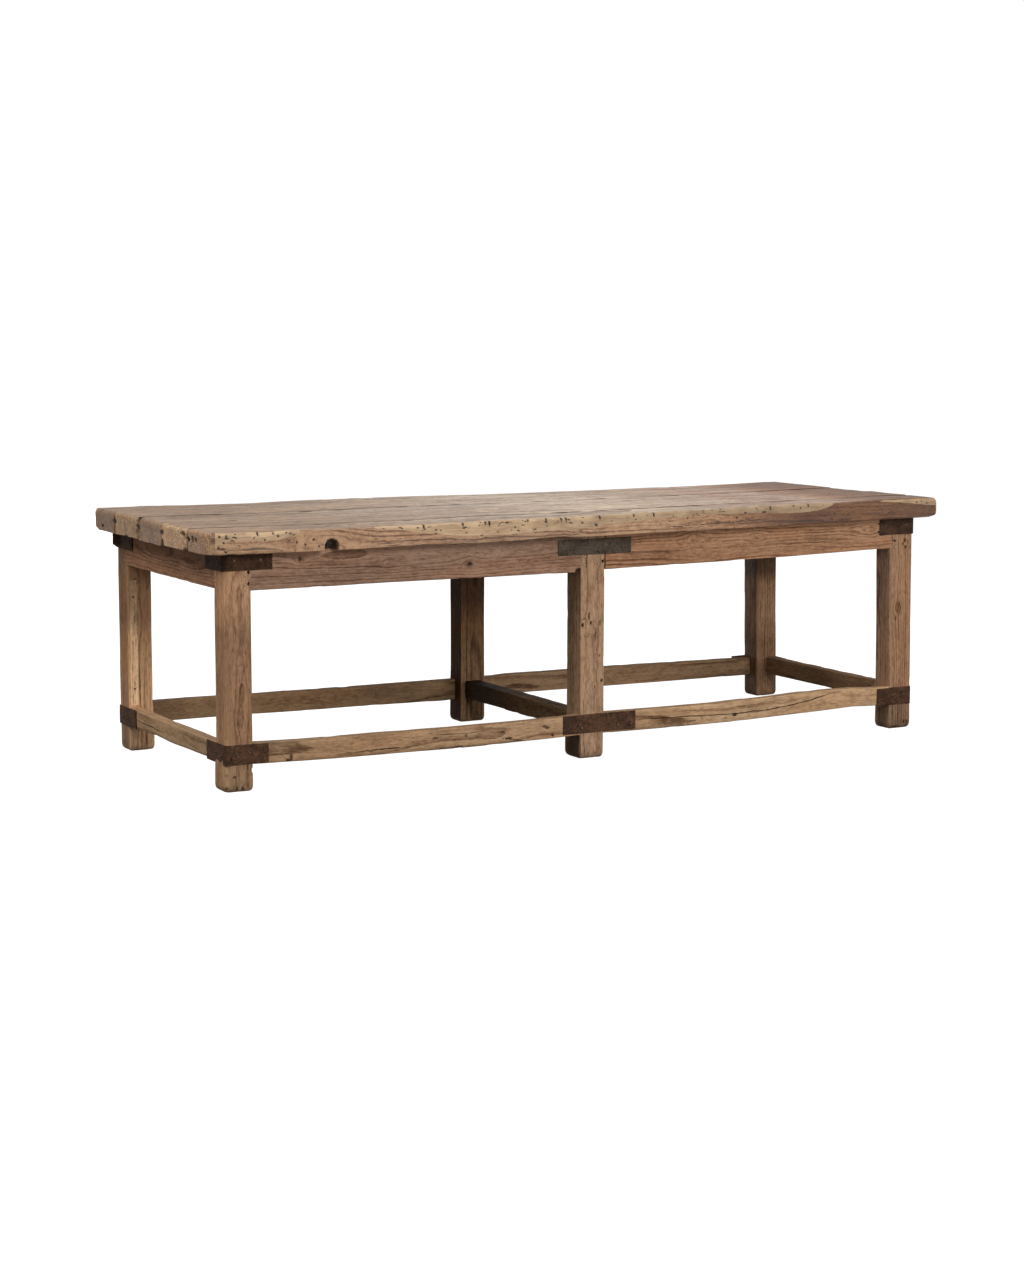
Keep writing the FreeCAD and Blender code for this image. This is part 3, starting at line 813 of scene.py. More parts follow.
def rusty_iron(name, dull, rust, bright, metal, wear=None):
    """Hammered iron under old rust: pitted, mottled and rubbed on its high spots.

    The wear is the stored value it reads: the tint of a strap, which paints shadow on some straps, or the
    crown of a nail's head, whose rim is painted dark as shade."""
    material, bench, surface = new_material(name)
    place = bench.out("ShaderNodeTexCoord", output="Object")
    cloud, grit = bench.cloud(place, RUST_CLOUD), bench.cloud(place, RUST_GRIT)
    colour = bench.mix(bench.fade(cloud, *RUST_CLOUD.levels), dull, rust)
    colour = bench.mix(bench.patches(place, RUST_STAIN) * 0.45, colour, bright)
    colour = bench.mix(bench.fade(grit, *RUST_GRIT.levels) * 0.6, colour, dull)
    pits = bench.patches(place, RUST_PITS)
    colour = bench.mix(pits * 0.7, colour, CRACK)
    if wear == "tint":
        # A strap's tint, which paints shadow on some straps
        colour = bench.tinted(colour, bench.stored_vector("tint"))
    elif wear == "crown":
        # The rim of a nail's head painted dark as shade
        colour = bench.mix(bench.fade(bench.stored("crown"), *NAIL_RIM), CRACK, colour)
    bench.feed(surface.inputs["Base Color"], colour)
    bench.feed(surface.inputs["Roughness"], grit * 0.3 + 0.5)
    surface.inputs["Metallic"].default_value = metal
    surface.inputs["Specular IOR Level"].default_value = 0.03
    raise_relief(bench, surface, cloud * 0.7 + grit * 0.4, *IRON_RELIEF)
    return material


TOP_WOOD = timber(
    "top_wood", paint(176, 141, 110), paint(147, 113, 85), paint(86, 59, 41),
    rough=0.34, shine=0.4, pitted=0.75,
)
FRAME_WOOD = timber(
    "frame_wood", paint(170, 136, 105), paint(142, 110, 83), paint(82, 55, 38),
    rough=0.45, shine=0.04, pitted=0.5,
)
PEG_WOOD = timber(
    "peg_wood", paint(204, 188, 166), paint(182, 164, 140), paint(130, 108, 86),
    rough=0.5, shine=0.1, pitted=0.3, grain_axis="y", crowned=True,
)
CROSS_WOOD = timber(
    "cross_wood", paint(150, 120, 92), paint(120, 92, 69), paint(70, 48, 34),
    rough=0.5, shine=0.1, pitted=0.5, grain_axis="y",
)
STRAP_IRON = rusty_iron(
    "strap_iron", paint(58, 42, 32), paint(88, 62, 46), paint(118, 84, 61), metal=0.0, wear="tint",
)
PLATE_STEEL = rusty_iron(
    "plate_steel", paint(58, 50, 41), paint(80, 69, 58), paint(94, 82, 69), metal=0.0, wear="tint",
)
NAIL_IRON = rusty_iron(
    "nail_iron", paint(70, 56, 45), paint(98, 80, 66), paint(126, 106, 90), metal=0.1, wear="crown",
)
SCREW_STEEL = rusty_iron(
    "screw_steel", paint(70, 68, 66), paint(98, 94, 90), paint(120, 114, 108), metal=0.6,
)


# Pieces


def add_piece(name, mesh, material, slot, *nodes):
    """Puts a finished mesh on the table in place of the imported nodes."""
    mesh.materials.clear()
    mesh.materials.append(material)
    piece = bpy.data.objects.new(name, mesh)
    bpy.context.scene.collection.objects.link(piece)
    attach(piece, "root")
    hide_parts(*nodes)
    return piece


def node_box(node):
    """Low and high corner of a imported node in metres."""
    low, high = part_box(node)
    return np.array(low), np.array(high)


# Top planks

TOP_LOW, TOP_HIGH = node_box("top_plank_1")
UNDERSIDE, TOP = TOP_LOW[2], TOP_HIGH[2]
FRONT, BACK = TOP_LOW[1], node_box("top_plank_5")[1][1]

# Front face, left ends, upper face and underside of the planks in millimetres
FACE, LEFT = FRONT / MM, node_box("top_plank_2")[0][0] / MM
UPPER, UNDER = TOP / MM, UNDERSIDE / MM

# Rise of the top's edges along X, and of the front plank's lower edge
FRONT_RISE = (
    (-1328, 4), (-1000, 0.5), (-600, -1), (-350, 2), (-100, 0), (250, 3), (800, 5.5), (1170, 7.5),
    (1328, 6),
)
BACK_RISE = (
    (-1328, 7.5), (-1190, 7.5), (-1105, 6), (-1027, 3), (-800, 0.5), (-658, 2.5), (-463, 3.7),
    (-270, 1.5), (-174, 0), (130, -4.5), (500, -5.8), (721, -6.5), (935, -6.5), (1100, -5.8), (1328, -3),
)
LOWER_RISE = (
    (-1328, 0), (-1120, -1.5), (-900, -2), (-500, -2.8), (-380, -4.5), (-285, -1.2), (-185, 1.7),
    (-124, 3.5), (-87, -1.5), (150, -2.5), (324, -0.5), (950, 2), (1328, 8),
)
LOWER_EDGE_REACH = 40 * MM


def warp_top(table):
    """Winds and waves the top. Its underside stays flat on the frame, apart from the front edge."""
    x, y, z = table.T
    share = (y - FRONT) / (BACK - FRONT)
    upper = (1 - share) * along_line(x, FRONT_RISE) + share * along_line(x, BACK_RISE)
    lower = along_line(x, LOWER_RISE) * fade(y, FRONT + LOWER_EDGE_REACH, FRONT)
    height = np.clip((z - UNDERSIDE) / (TOP - UNDERSIDE), 0, 1)
    return np.column_stack((x, y, z + (height * upper + (1 - height) * lower) * MM))


# Lower border of the pale sapwood on the front face: X and depth below the top, in three stretches
SAP_LINES = (
    (
        (-1303, 44), (-1278, 31), (-1250, 20), (-1197, 24), (-1140, 28), (-1073, 20), (-1034, 12),
        (-1028, -10),
    ),
    (
        (-800, -10), (-780, 4), (-696, 14), (-611, 26), (-508, 38), (-345, 44), (-62, 38), (44, 28),
        (210, 19), (434, 17), (608, 20), (722, 27), (833, 23), (895, 10), (915, -10),
    ),
    ((1075, -10), (1097, 7), (1200, 14), (1290, 24), (1328, 26)),
)
SAP_TOP_REACH = 7 * MM
NO_SAP = -50 * MM
SAP_SHADE = (
    (-1328, 1.0), (-300, 1.07), (-120, 0.9), (150, 0.85), (530, 0.72), (900, 0.75), (1328, 0.85),
)


def front_sapwood(table):
    """Distance into the sapwood along the front edge, below zero outside it."""
    x, y, z = table.T
    depth = np.full(len(table), NO_SAP)
    for line in SAP_LINES:
        height = z - TOP + along_line(x, line) * MM
        ends = np.minimum(x - line[0][0] * MM, line[-1][0] * MM - x)
        depth = np.maximum(depth, np.minimum(height, ends))
    return np.minimum(depth, FRONT + SAP_TOP_REACH - y)


UPPER_SOIL, UPPER_SOIL_DEPTH = 0.45, 3 * MM


def upper_soil(table):
    """Stains on the upper face."""
    return UPPER_SOIL * fade(table[:, 2], TOP - UPPER_SOIL_DEPTH, TOP)


# Slits across the upper front arris: X and reach over the edge
SLITS = (
    (-617, 12), (-482, 11), (-404, 9), (-390, 15), (-255, 9), (-190, 12), (-135, 13), (-118, 13),
    (5, 11), (130, 9), (205, 13), (650, 11), (800, 9), (-1166, 9),
)
SLIT_HALF_WIDTH, SLIT_DEPTH, SLIT_INSET = 3.0, 7.0, 3.0
SLIT_EDGES = (-3.3, -2.6, -1.0, 1.0, 2.6, 3.3)

# Worm holes and small bruises on the front face: X, depth below the top, half width and half height
WORM_HOLES = (
    (-1288, 12, 3.5, 3.5), (-1267, 11, 3, 3), (-1101, 15, 3.5, 3.5), (-1143, 25, 3, 3),
    (-1116, 6, 3, 3), (-1276, 29, 3, 3), (-1291, 43, 3, 5), (-1279, 47, 11, 2.5), (-1268, 55, 4, 3),
    (-1040, 36, 3, 3), (-1012, 44, 3, 3), (-985, 30, 4, 2.5), (-968, 50, 3, 3), (-560, 20, 3, 2.5),
    (-300, 24, 3, 3), (-60, 20, 4, 2.5), (330, 24, 3, 3), (520, 30, 4, 2.5), (905, 34, 3, 3),
    (1242, 12, 4, 3), (1262, 11, 3, 3),
)
WORM_HOLE_DEPTH, WORM_HOLE_REACH = 4.0, 12
FRONT_HOLE_DARK = 0.95
KNOT_HOLE = Mark((-925, FACE + 8, UNDER + 11), (22, 46, 22), 44)

# Holes and chips at the left ends of the planks: Y, depth below the top, half width, half height
# and how dark
END_HOLES = (
    (296, 27, 12, 6, 1.0), (404, 47, 10, 5, 1.0), (101, 27, 14, 7, 1.0), (105, 10, 7, 12, 0.9),
    (106, 46, 6, 16, 0.8), (-117, 25, 15, 7, 1.0), (-119, 60, 13, 17, 1.0), (-287, 18, 10, 6, 0.95),
    (-328, 28, 15, 6, 1.0), (-362, 26, 10, 9, 0.95), (-388, 26, 9, 6, 0.9), (-304, 24, 7, 12, 0.8),
    (-312, 62, 14, 8, 0.0), (490, 70, 42, 18, 0.0), (200, 64, 14, 7, 0.0), (-20, 66, 18, 8, 0.0),
)
END_HOLE_DEPTH, END_HOLE_REACH = 14.0, 16

# Short dark slots in the upper face: X, Y, half length and half width
FACE_SLOTS = (
    (-104, 102, 15, 3), (-369, -52, 9, 3), (-484, -243, 10, 3), (100, -108, 55, 2.5),
    (522, -72, 30, 2.5), (-820, 40, 30, 2.5), (840, 120, 40, 2.5), (-1010, -240, 22, 2.5),
)
FACE_SLOT_DEPTH, FACE_SLOT_REACH, FACE_SLOT_DARK = 2.5, 9, 0.9

plank_marks = []
for y, drop, half_y, half_z, dark in END_HOLES:
    half = (END_HOLE_REACH, half_y, half_z)
    plank_marks.append(Mark((LEFT, y, UPPER - drop), half, END_HOLE_DEPTH, dark))
for x, y, run, wide in FACE_SLOTS:
    half = (run, wide, FACE_SLOT_REACH)
    plank_marks.append(Mark((x, y, UPPER), half, FACE_SLOT_DEPTH, FACE_SLOT_DARK))
front_marks = [KNOT_HOLE]
for x, reach in SLITS:
    place = (x, FACE + SLIT_INSET, UPPER - SLIT_INSET)
    front_marks.append(Mark(place, (SLIT_HALF_WIDTH, reach, reach), SLIT_DEPTH, FRONT_HOLE_DARK))
for x, drop, half_x, half_z in WORM_HOLES:
    half = (half_x, WORM_HOLE_REACH, half_z)
    front_marks.append(Mark((x, FACE, UPPER - drop), half, WORM_HOLE_DEPTH, FRONT_HOLE_DARK))

# Shades of the planks along X, then of the front plank's rounded corner, darker, and of the upper face:
# its tone with a painted sheen, paler and greyer across the middle and darker at the right end
PLANK_SHADE = (
    (-1328, 0.88, 0.87, 0.82), (-900, 0.95, 0.93, 0.88), (-300, 0.86, 0.87, 0.90),
    (-70, 1.08, 1.08, 1.05), (200, 1.1, 1.08, 1.02), (500, 0.9, 0.78, 0.67), (780, 0.27, 0.16, 0.10),
    (1000, 0.40, 0.30, 0.20), (1328, 0.29, 0.21, 0.15),
)
CORNER_SHADE = ((-1328, 0.6, 0.61, 0.65), (-1303, 0.6, 0.61, 0.65), (-1290, 0.88, 0.87, 0.82))
UPPER_TONE_AND_SHEEN = (
    (-1328, 0.72, 0.76, 0.76), (-900, 0.83, 0.92, 0.95), (-300, 1.17, 1.53, 2.0),
    (-70, 1.37, 1.83, 2.4), (200, 1.54, 2.1, 2.8), (500, 1.36, 1.76, 2.35), (640, 1.37, 1.72, 2.15),
    (780, 1.18, 1.3, 1.62), (900, 1.28, 1.6, 2.1), (1000, 0.9, 0.84, 0.84), (1100, 0.48, 0.36, 0.23),
    (1328, 0.38, 0.28, 0.15),
)

# What the four planks behind the front one share
INNER_PLANK = dict(
    shade=PLANK_SHADE,
    step=7.0,
    side_step=(4.0, 7.0, 4.0, 16.0),
    radii=(2.5, 2.5, 2.5, 2.5),
    face=2,
    marks=plank_marks,
    dark_sides=(-1, 1),
)
PLANKS = (
    dict(
        end_radius=12.0,
        tint=(0.97, 0.97, 0.97),
        shade=(*CORNER_SHADE, *PLANK_SHADE[1:]),
        end_shade=(1.8, 1.78, 1.5),
        step=2.8,
        side_step=(4.0, 6.0, 3.2, 16.0),
        radii=(2.5, 2.5, 8.0, 4.0),
        pith=(30, -75),
        figure=1.4,
        ring_width=7.0,
        face=1,
        marks=front_marks + plank_marks,
        knots=[
            Knot(-925, 735, 24, 0), Knot(-1010, 742, 16, 0), Knot(-1050, 762, 10, 0),
            Knot(420, 742, 9, 0.6),
        ],
        splits=[
            Split(((-760, 741), (-560, 737), (-420, 735)), 0.5),
            Split(((240, 736), (430, 741), (640, 744)), 0.6),
            Split(((860, 748), (1010, 744), (1180, 741)), 0.6),
            Split(((-200, 729), (-60, 730), (60, 733)), 0.5),
        ],
        stations=tuple(x + offset for x, _ in SLITS for offset in SLIT_EDGES),
        plan_corners=((-1, -1, 52), (1, -1, 8)),
        dark_sides=(1,),
        sapwood=front_sapwood,
        sap_shade=SAP_SHADE,
    ),
    dict(
        end_radius=14.0,
        lift=1.0,
        tint=(1.02, 1.01, 1.0),
        end_shade=(2.0, 2.2, 2.2),
        pith=(-20, -95),
        splits=[
            Split(((-760, -210), (-300, -217), (60, -212)), 2.0),
            Split(((420, -250), (760, -246), (1010, -252)), 1.6),
        ],
    ),
    dict(
        end_radius=16.0,
        tint=(0.96, 0.96, 0.97),
        end_shade=(0.88, 0.85, 0.72),
        pith=(60, -80),
        splits=[
            Split(((-1180, 20), (-900, 14), (-640, 16)), 1.8),
            Split(((20, -40), (360, -48), (720, -44)), 2.0),
        ],
        ends={
            "-u": ((-118, -6), (103, 1)), "+u": ((-118, 2), (103, 5)), "-w": ((-1328, -5), (-1270, 0)),
        },
    ),
    dict(
        end_radius=12.0,
        lift=1.2,
        tint=(1.0, 0.99, 0.98),
        end_shade=(1.4, 1.5, 1.36),
        pith=(-60, -70),
        splits=[
            Split(((-520, 196), (-100, 190), (330, 194)), 1.8),
            Split(((700, 230), (1000, 226), (1240, 232)), 1.6),
        ],
        ends={"-u": ((103, 0), (296, -2)), "+u": ((103, 8), (296, 14))},
    ),
    dict(
        end_radius=16.0,
        tint=(0.95, 0.95, 0.95),
        end_shade=(0.68, 0.64, 0.54),
        pith=(10, -110),
        splits=[
            Split(((-1100, 380), (-700, 372), (-380, 378)), 1.8),
            Split(((200, 400), (600, 392), (900, 396)), 1.8),
        ],
        plan_corners=((-1, 1, 14),),
        dark_sides=(-1,),
    ),
)
PLANK_SEED = 10
RIGHT_END_RADIUS = 13.0


def add_plank(number, end_radius, lift=0.0, ends=None, **details):
    """Plank of the top, its left end rounded over and its upper face a little raised."""
    name = f"top_plank_{number}"
    low, high = node_box(name)
    plank = Board(
        name=name,
        axis="x",
        low=low,
        high=high,
        seed=PLANK_SEED + number,
        end_radii=(end_radius, RIGHT_END_RADIUS),
        end_insets=((1.0, end_radius, 1.5), (1.0, RIGHT_END_RADIUS, 5.0)),
        end_rings=26,
        upper_tone_and_sheen=UPPER_TONE_AND_SHEEN,
        wear=1.1,
        chips=4.0,
        edges={"+w": ((0, lift), (1, lift)), **(ends or {})},
        warp=warp_top,
        soil=upper_soil,
        **{**INNER_PLANK, **details},
    )
    add_piece(f"{name}_wood", board_mesh(plank), TOP_WOOD, "top_wood", name)


for number, details in enumerate(PLANKS, 1):
    add_plank(number, **details)

# Legs

SIDES, HALVES = ("front", "back"), ("left", "middle", "right")
LEGS = {(side, half): node_box(f"leg_{side}_{half}") for side in SIDES for half in HALVES}
LEG_FACE = LEGS["front", "left"][0][1] / MM
BACK_LEG_FACE = LEGS["back", "left"][0][1] / MM
FOOT_SOIL, FOOT_SOIL_TOP, FOOT_SOIL_FULL = 0.5, 60 * MM, 5 * MM
FOOT_RADIUS, FOOT_INSET, LEG_TOP_INSET = 20.0, 11.0, 0.5
LOWEST = (-np.inf, -np.inf, 0)
FACE_MARK_REACH = 8


def foot_soil(table):
    """Dirt that is thickest at the floor."""
    return FOOT_SOIL * fade(table[:, 2], FOOT_SOIL_TOP, FOOT_SOIL_FULL)


def stand_on_floor(table):
    """Keeps a worn foot above the floor."""
    return np.maximum(table, LOWEST)


def face_mark(x, z, half_x, half_z, depth=4.0, dark=0.95, face=LEG_FACE):
    """Hole or bruise in the front face of a leg or rail."""
    return Mark((x, face, z), (half_x, FACE_MARK_REACH, half_z), depth, dark)


# Tint, shade along the leg and side shades paint light and shadow onto the legs as well as their tone, as
# noted on each leg
LEG_DETAILS = {
    ("front", "left"): dict(
        # Painted light: the left face lighter, and the arris between it and the front darker
        tint=(0.75, 0.73, 0.72),
        painted_side_light=(1.0, 1.0, 1.5, 1.0),
        radii=(3, 3, 3, 13),
        shade=(
            (0, 1.16, 1.25, 1.29), (130, 1.16, 1.25, 1.27), (150, 1.14, 1.14, 1.12), (480, 1, 1, 1),
            (540, 1.3, 1.3, 1.31), (620, 1.6, 1.6, 1.63), (720, 1.6, 1.6, 1.63),
        ),
        ring_width=6.5,
        coarse=0.7,
        rub_and_highlight=1.2,
        painted_arris_light=0.92,
        pith=(0, 66),
        edges={"-v": ((0, -6), (90, -5), (140, 0))},
        swells=[
            Swell(596, -1214, 50, 17, 8), Swell(500, -1206, 62, 20, 9), Swell(398, -1212, 46, 16, 8),
            Swell(310, -1207, 58, 19, 9), Swell(220, -1213, 44, 16, 7),
        ],
        marks=[
            face_mark(-1178, 662, 5, 5, 8, 1.0), face_mark(-1178, 627, 5, 5, 8, 1.0),
            face_mark(-1250, 14, 5, 9, 3, 0.8), face_mark(-1221, 8, 4, 8, 3, 0.8),
            face_mark(-1204, 8, 6, 5, 3, 0.8), face_mark(-1250, 52, 3, 9, 2, 0.6),
            face_mark(-1229, 46, 6, 4, 2, 0.6),
            Mark((-1172, -400, 64), (10, 70, 9), 5, 0),
        ],
        knots=[Knot(395, -1210, 9, 0.2), Knot(265, -1206, 7, 0.2), Knot(520, -1214, 8, 0)],
        splits=[Split(((132, -1206), (160, -1211), (240, -1226)), 0.9)],
    ),
    ("front", "middle"): dict(
        # Painted light: the left face lighter
        tint=(0.98, 1.07, 1.18),
        painted_side_light=(1.0, 1.0, 1.2, 1.0),
        shade=((0, 1.05), (100, 1.05), (150, 1.0), (720, 1.0)),
        ring_width=7.0,
        coarse=0.85,
        pith=(15, 78),
        edges={
            "+v": ((0, 2), (100, 3), (150, 4.5), (720, 4.5)),
            "-v": ((0, -2), (100, -2), (150, 3.5), (720, 3.5)),
            "+w": ((0, 11), (720, 11)),
        },
        marks=[
            face_mark(37, 634, 5, 5, 8, 1.0), face_mark(-12, 460, 2.5, 12, 3),
            face_mark(-36, 432, 5, 6, 5), face_mark(-6, 438, 3, 6, 3), face_mark(10, 396, 2, 16, 2, 0.7),
            face_mark(-30, 452, 3, 5, 2, 0.6), face_mark(34, 250, 4, 5, 3),
            face_mark(26, 330, 3, 4, 2, 0.7), face_mark(28, 436, 3, 10, 1.5, 0.5),
            # No depth: painted shadow on the left face at the foot
            Mark((-43, -400, 40), (9, 60, 62), 0, 0.75),
        ],
        knots=[Knot(640, 12, 7, 0.7)],
        splits=[Split(((0, -21), (18, -22), (44, -21)), 2.0)],
    ),
    ("front", "right"): dict(
        # Painted light: the left face lighter. The shade makes the foot darker
        tint=(0.92, 0.90, 0.92),
        painted_side_light=(1.0, 1.0, 1.4, 1.0),
        shade=((0, 0.72, 0.78, 0.84), (80, 0.75, 0.8, 0.85), (110, 1, 1, 1), (720, 1, 1, 1)),
        ring_width=7.0,
        coarse=0.7,
        pith=(-70, 30),
        edges={"-v": ((100, 2), (360, -1), (600, -5)), "+v": ((0, 3), (300, 2), (500, 0))},
        marks=[
            face_mark(1181, 646, 5, 4, 5), face_mark(1191, 646, 4, 4, 4),
            face_mark(1230, 646, 5, 7, 3, 0.8), face_mark(1233, 622, 5, 6, 3, 0.8),
            face_mark(1222, 634, 4, 5, 2, 0.6), face_mark(1196, 380, 2.5, 12, 2, 0.8),
            face_mark(1200, 7, 22, 5, 2, 0.8), face_mark(1235, 22, 4, 7, 3, 0.8),
            face_mark(1247, 20, 3, 8, 3, 0.8),
        ],
        knots=[Knot(416, 1206, 9), Knot(640, 1236, 9, 0.5), Knot(560, 1192, 5, 0.6)],
        splits=[
            Split(((380, 1216), (450, 1212), (520, 1214)), 0.5),
            Split(((5, 1188), (50, 1186), (100, 1184)), 1.2),
            Split(((15, 1209), (50, 1209), (90, 1208)), 1.4),
        ],
    ),
    ("back", "left"): dict(
        # Painted light and shadow: the leg lightened, its left, right and back faces less, lit most low
        # down and darker higher up as painted shadow under the top; its arrises take a painted highlight
        tint=(1.85, 1.82, 1.80),
        painted_side_light=(0.8, 0.8, 0.67, 1.0),
        shade=(
            (0, 0.78, 0.82, 0.86), (80, 0.8, 0.84, 0.86), (120, 1, 1, 1), (300, 1.0, 1.0, 0.95),
            (380, 0.9, 0.88, 0.85), (432, 0.57, 0.53, 0.53), (540, 0.65, 0.61, 0.58),
            (720, 0.52, 0.5, 0.47),
        ),
        rub_and_highlight=2.0,
        figure=0.85,
        ring_width=9.0,
        coarse=0.6,
        pith=(25, -75),
        edges={"+v": ((100, 0), (160, -3.5), (600, -3))},
        knots=[Knot(555, -1228, 9), Knot(447, -1233, 9), Knot(413, -1230, 7)],
        splits=[Split(((140, -1218), (220, -1219), (300, -1218)), 1.2)],
        painted_arris_light=1.25,
    ),
    ("back", "middle"): dict(
        # Painted shadow: the whole leg darker, most at its top and on its left face, with its right and
        # back faces lightened back
        tint=(0.68, 0.63, 0.56),
        painted_side_light=(1.3, 1.4, (0.27, 0.2, 0.13), 1.0),
        shade=(
            (0, 1.05, 1.15, 1.28), (250, 1.1, 1.18, 1.25), (330, 1.2, 1.2, 1.15),
            (420, 0.52, 0.5, 0.52), (600, 0.42, 0.4, 0.42),
        ),
        ring_width=8.0,
        coarse=0.7,
        pith=(10, -90),
        edges={"+v": ((0, 5), (720, 4.5)), "-v": ((0, -5), (130, -4), (200, -2.5), (720, -2.5))},
    ),
    ("back", "right"): dict(
        # Painted light and shadow: the middle of the leg lighter, its top darker as painted shadow under
        # the top, its foot darker and its left face darker
        tint=(1.06, 1.06, 1.07),
        shade=((0, 0.68), (200, 0.75), (300, 1.42), (410, 1.42), (460, 0.5), (540, 0.27), (720, 0.25)),
        painted_side_light=(0.85, 0.85, (0.7, 0.66, 0.6), 1.0),
        ring_width=8.0,
        coarse=0.7,
        pith=(-20, -65),
        edges={
            "+v": ((0, 7), (140, 5), (400, 2), (600, -1)), "-v": ((0, 5), (140, 3), (400, 0), (600, -3)),
        },
    ),
}
LEG_SEED, PATCH_SEED = 31, 47
for number, ((side, half), details) in enumerate(LEG_DETAILS.items()):
    name = f"leg_{side}_{half}"
    low, high = LEGS[side, half]
    leg = Board(
        name=name,
        axis="z",
        low=low,
        high=high,
        seed=LEG_SEED + number,
        step=2.6 if side == "front" else 4.0,
        side_step=(5.0, 5.0, 4.0, 2.6) if side == "front" else (5.0, 5.0, 4.0, 4.0),
        end_radii=(FOOT_RADIUS, LEG_TOP_INSET),
        end_insets=((FOOT_INSET,) * 3, (LEG_TOP_INSET,) * 3),
        end_rings=8,
        face=2,
        soil=foot_soil,
        warp=stand_on_floor,
        **details,
    )
    add_piece(f"{name}_wood", board_mesh(leg), FRAME_WOOD, "frame_wood", name)

patch_low, patch_high = node_box("leg_patch")
patch = Board(
    name="leg_patch",
    axis="z",
    low=patch_low,
    high=patch_high,
    seed=PATCH_SEED,
    # Paler repair strip, with the back left leg's painted light, and darker towards its top as painted
    # shadow
    tint=(2.65, 3.0, 3.15),
    shade=((0, 1.1), (370, 1.12), (425, 0.7), (560, 0.55)),
    radii=(1.2, 1.2, 1.2, 1.2),
    wear=0.4,
    chips=1.0,
    pith=(8, 40),
    face=2,
    marks=[face_mark(-1234, 208, 3, 3, 3, 1.0, BACK_LEG_FACE)],
)
add_piece("leg_patch_wood", board_mesh(patch), FRAME_WOOD, "peg_wood", "leg_patch")

# Aprons and stretchers

RAIL_BURIED = 5 * MM
STRETCHER_LOW, STRETCHER_HIGH = node_box("stretcher_left_end")


def add_rail(name, axis, start, end, seed, gaps=(0, 0), **details):
    """Rail between two legs, its ends a little way inside them, or short of them by a gap."""
    low, high = node_box(name)
    run = "xyz".index(axis)
    buried = [-gap * MM if gap else RAIL_BURIED for gap in gaps]
    low[run], high[run] = start - buried[0], end + buried[1]
    bow = None
    if name.startswith("stretcher") and axis == "x":
        sag, centre, reach = STRETCHER_LOW[2] - low[2], (start + end) / 2, (end - start) / 2
        low[2], high[2] = STRETCHER_LOW[2], STRETCHER_HIGH[2]

        def bow(along):
            drop = -sag * np.clip(1 - ((along - centre) / reach) ** 2, 0, 1)
            return np.column_stack((np.zeros(len(along)), drop))

    rail = Board(name=name, axis=axis, low=low, high=high, seed=seed, bow=bow, **details)
    add_piece(f"{name}_wood", board_mesh(rail), FRAME_WOOD, "frame_wood", name)


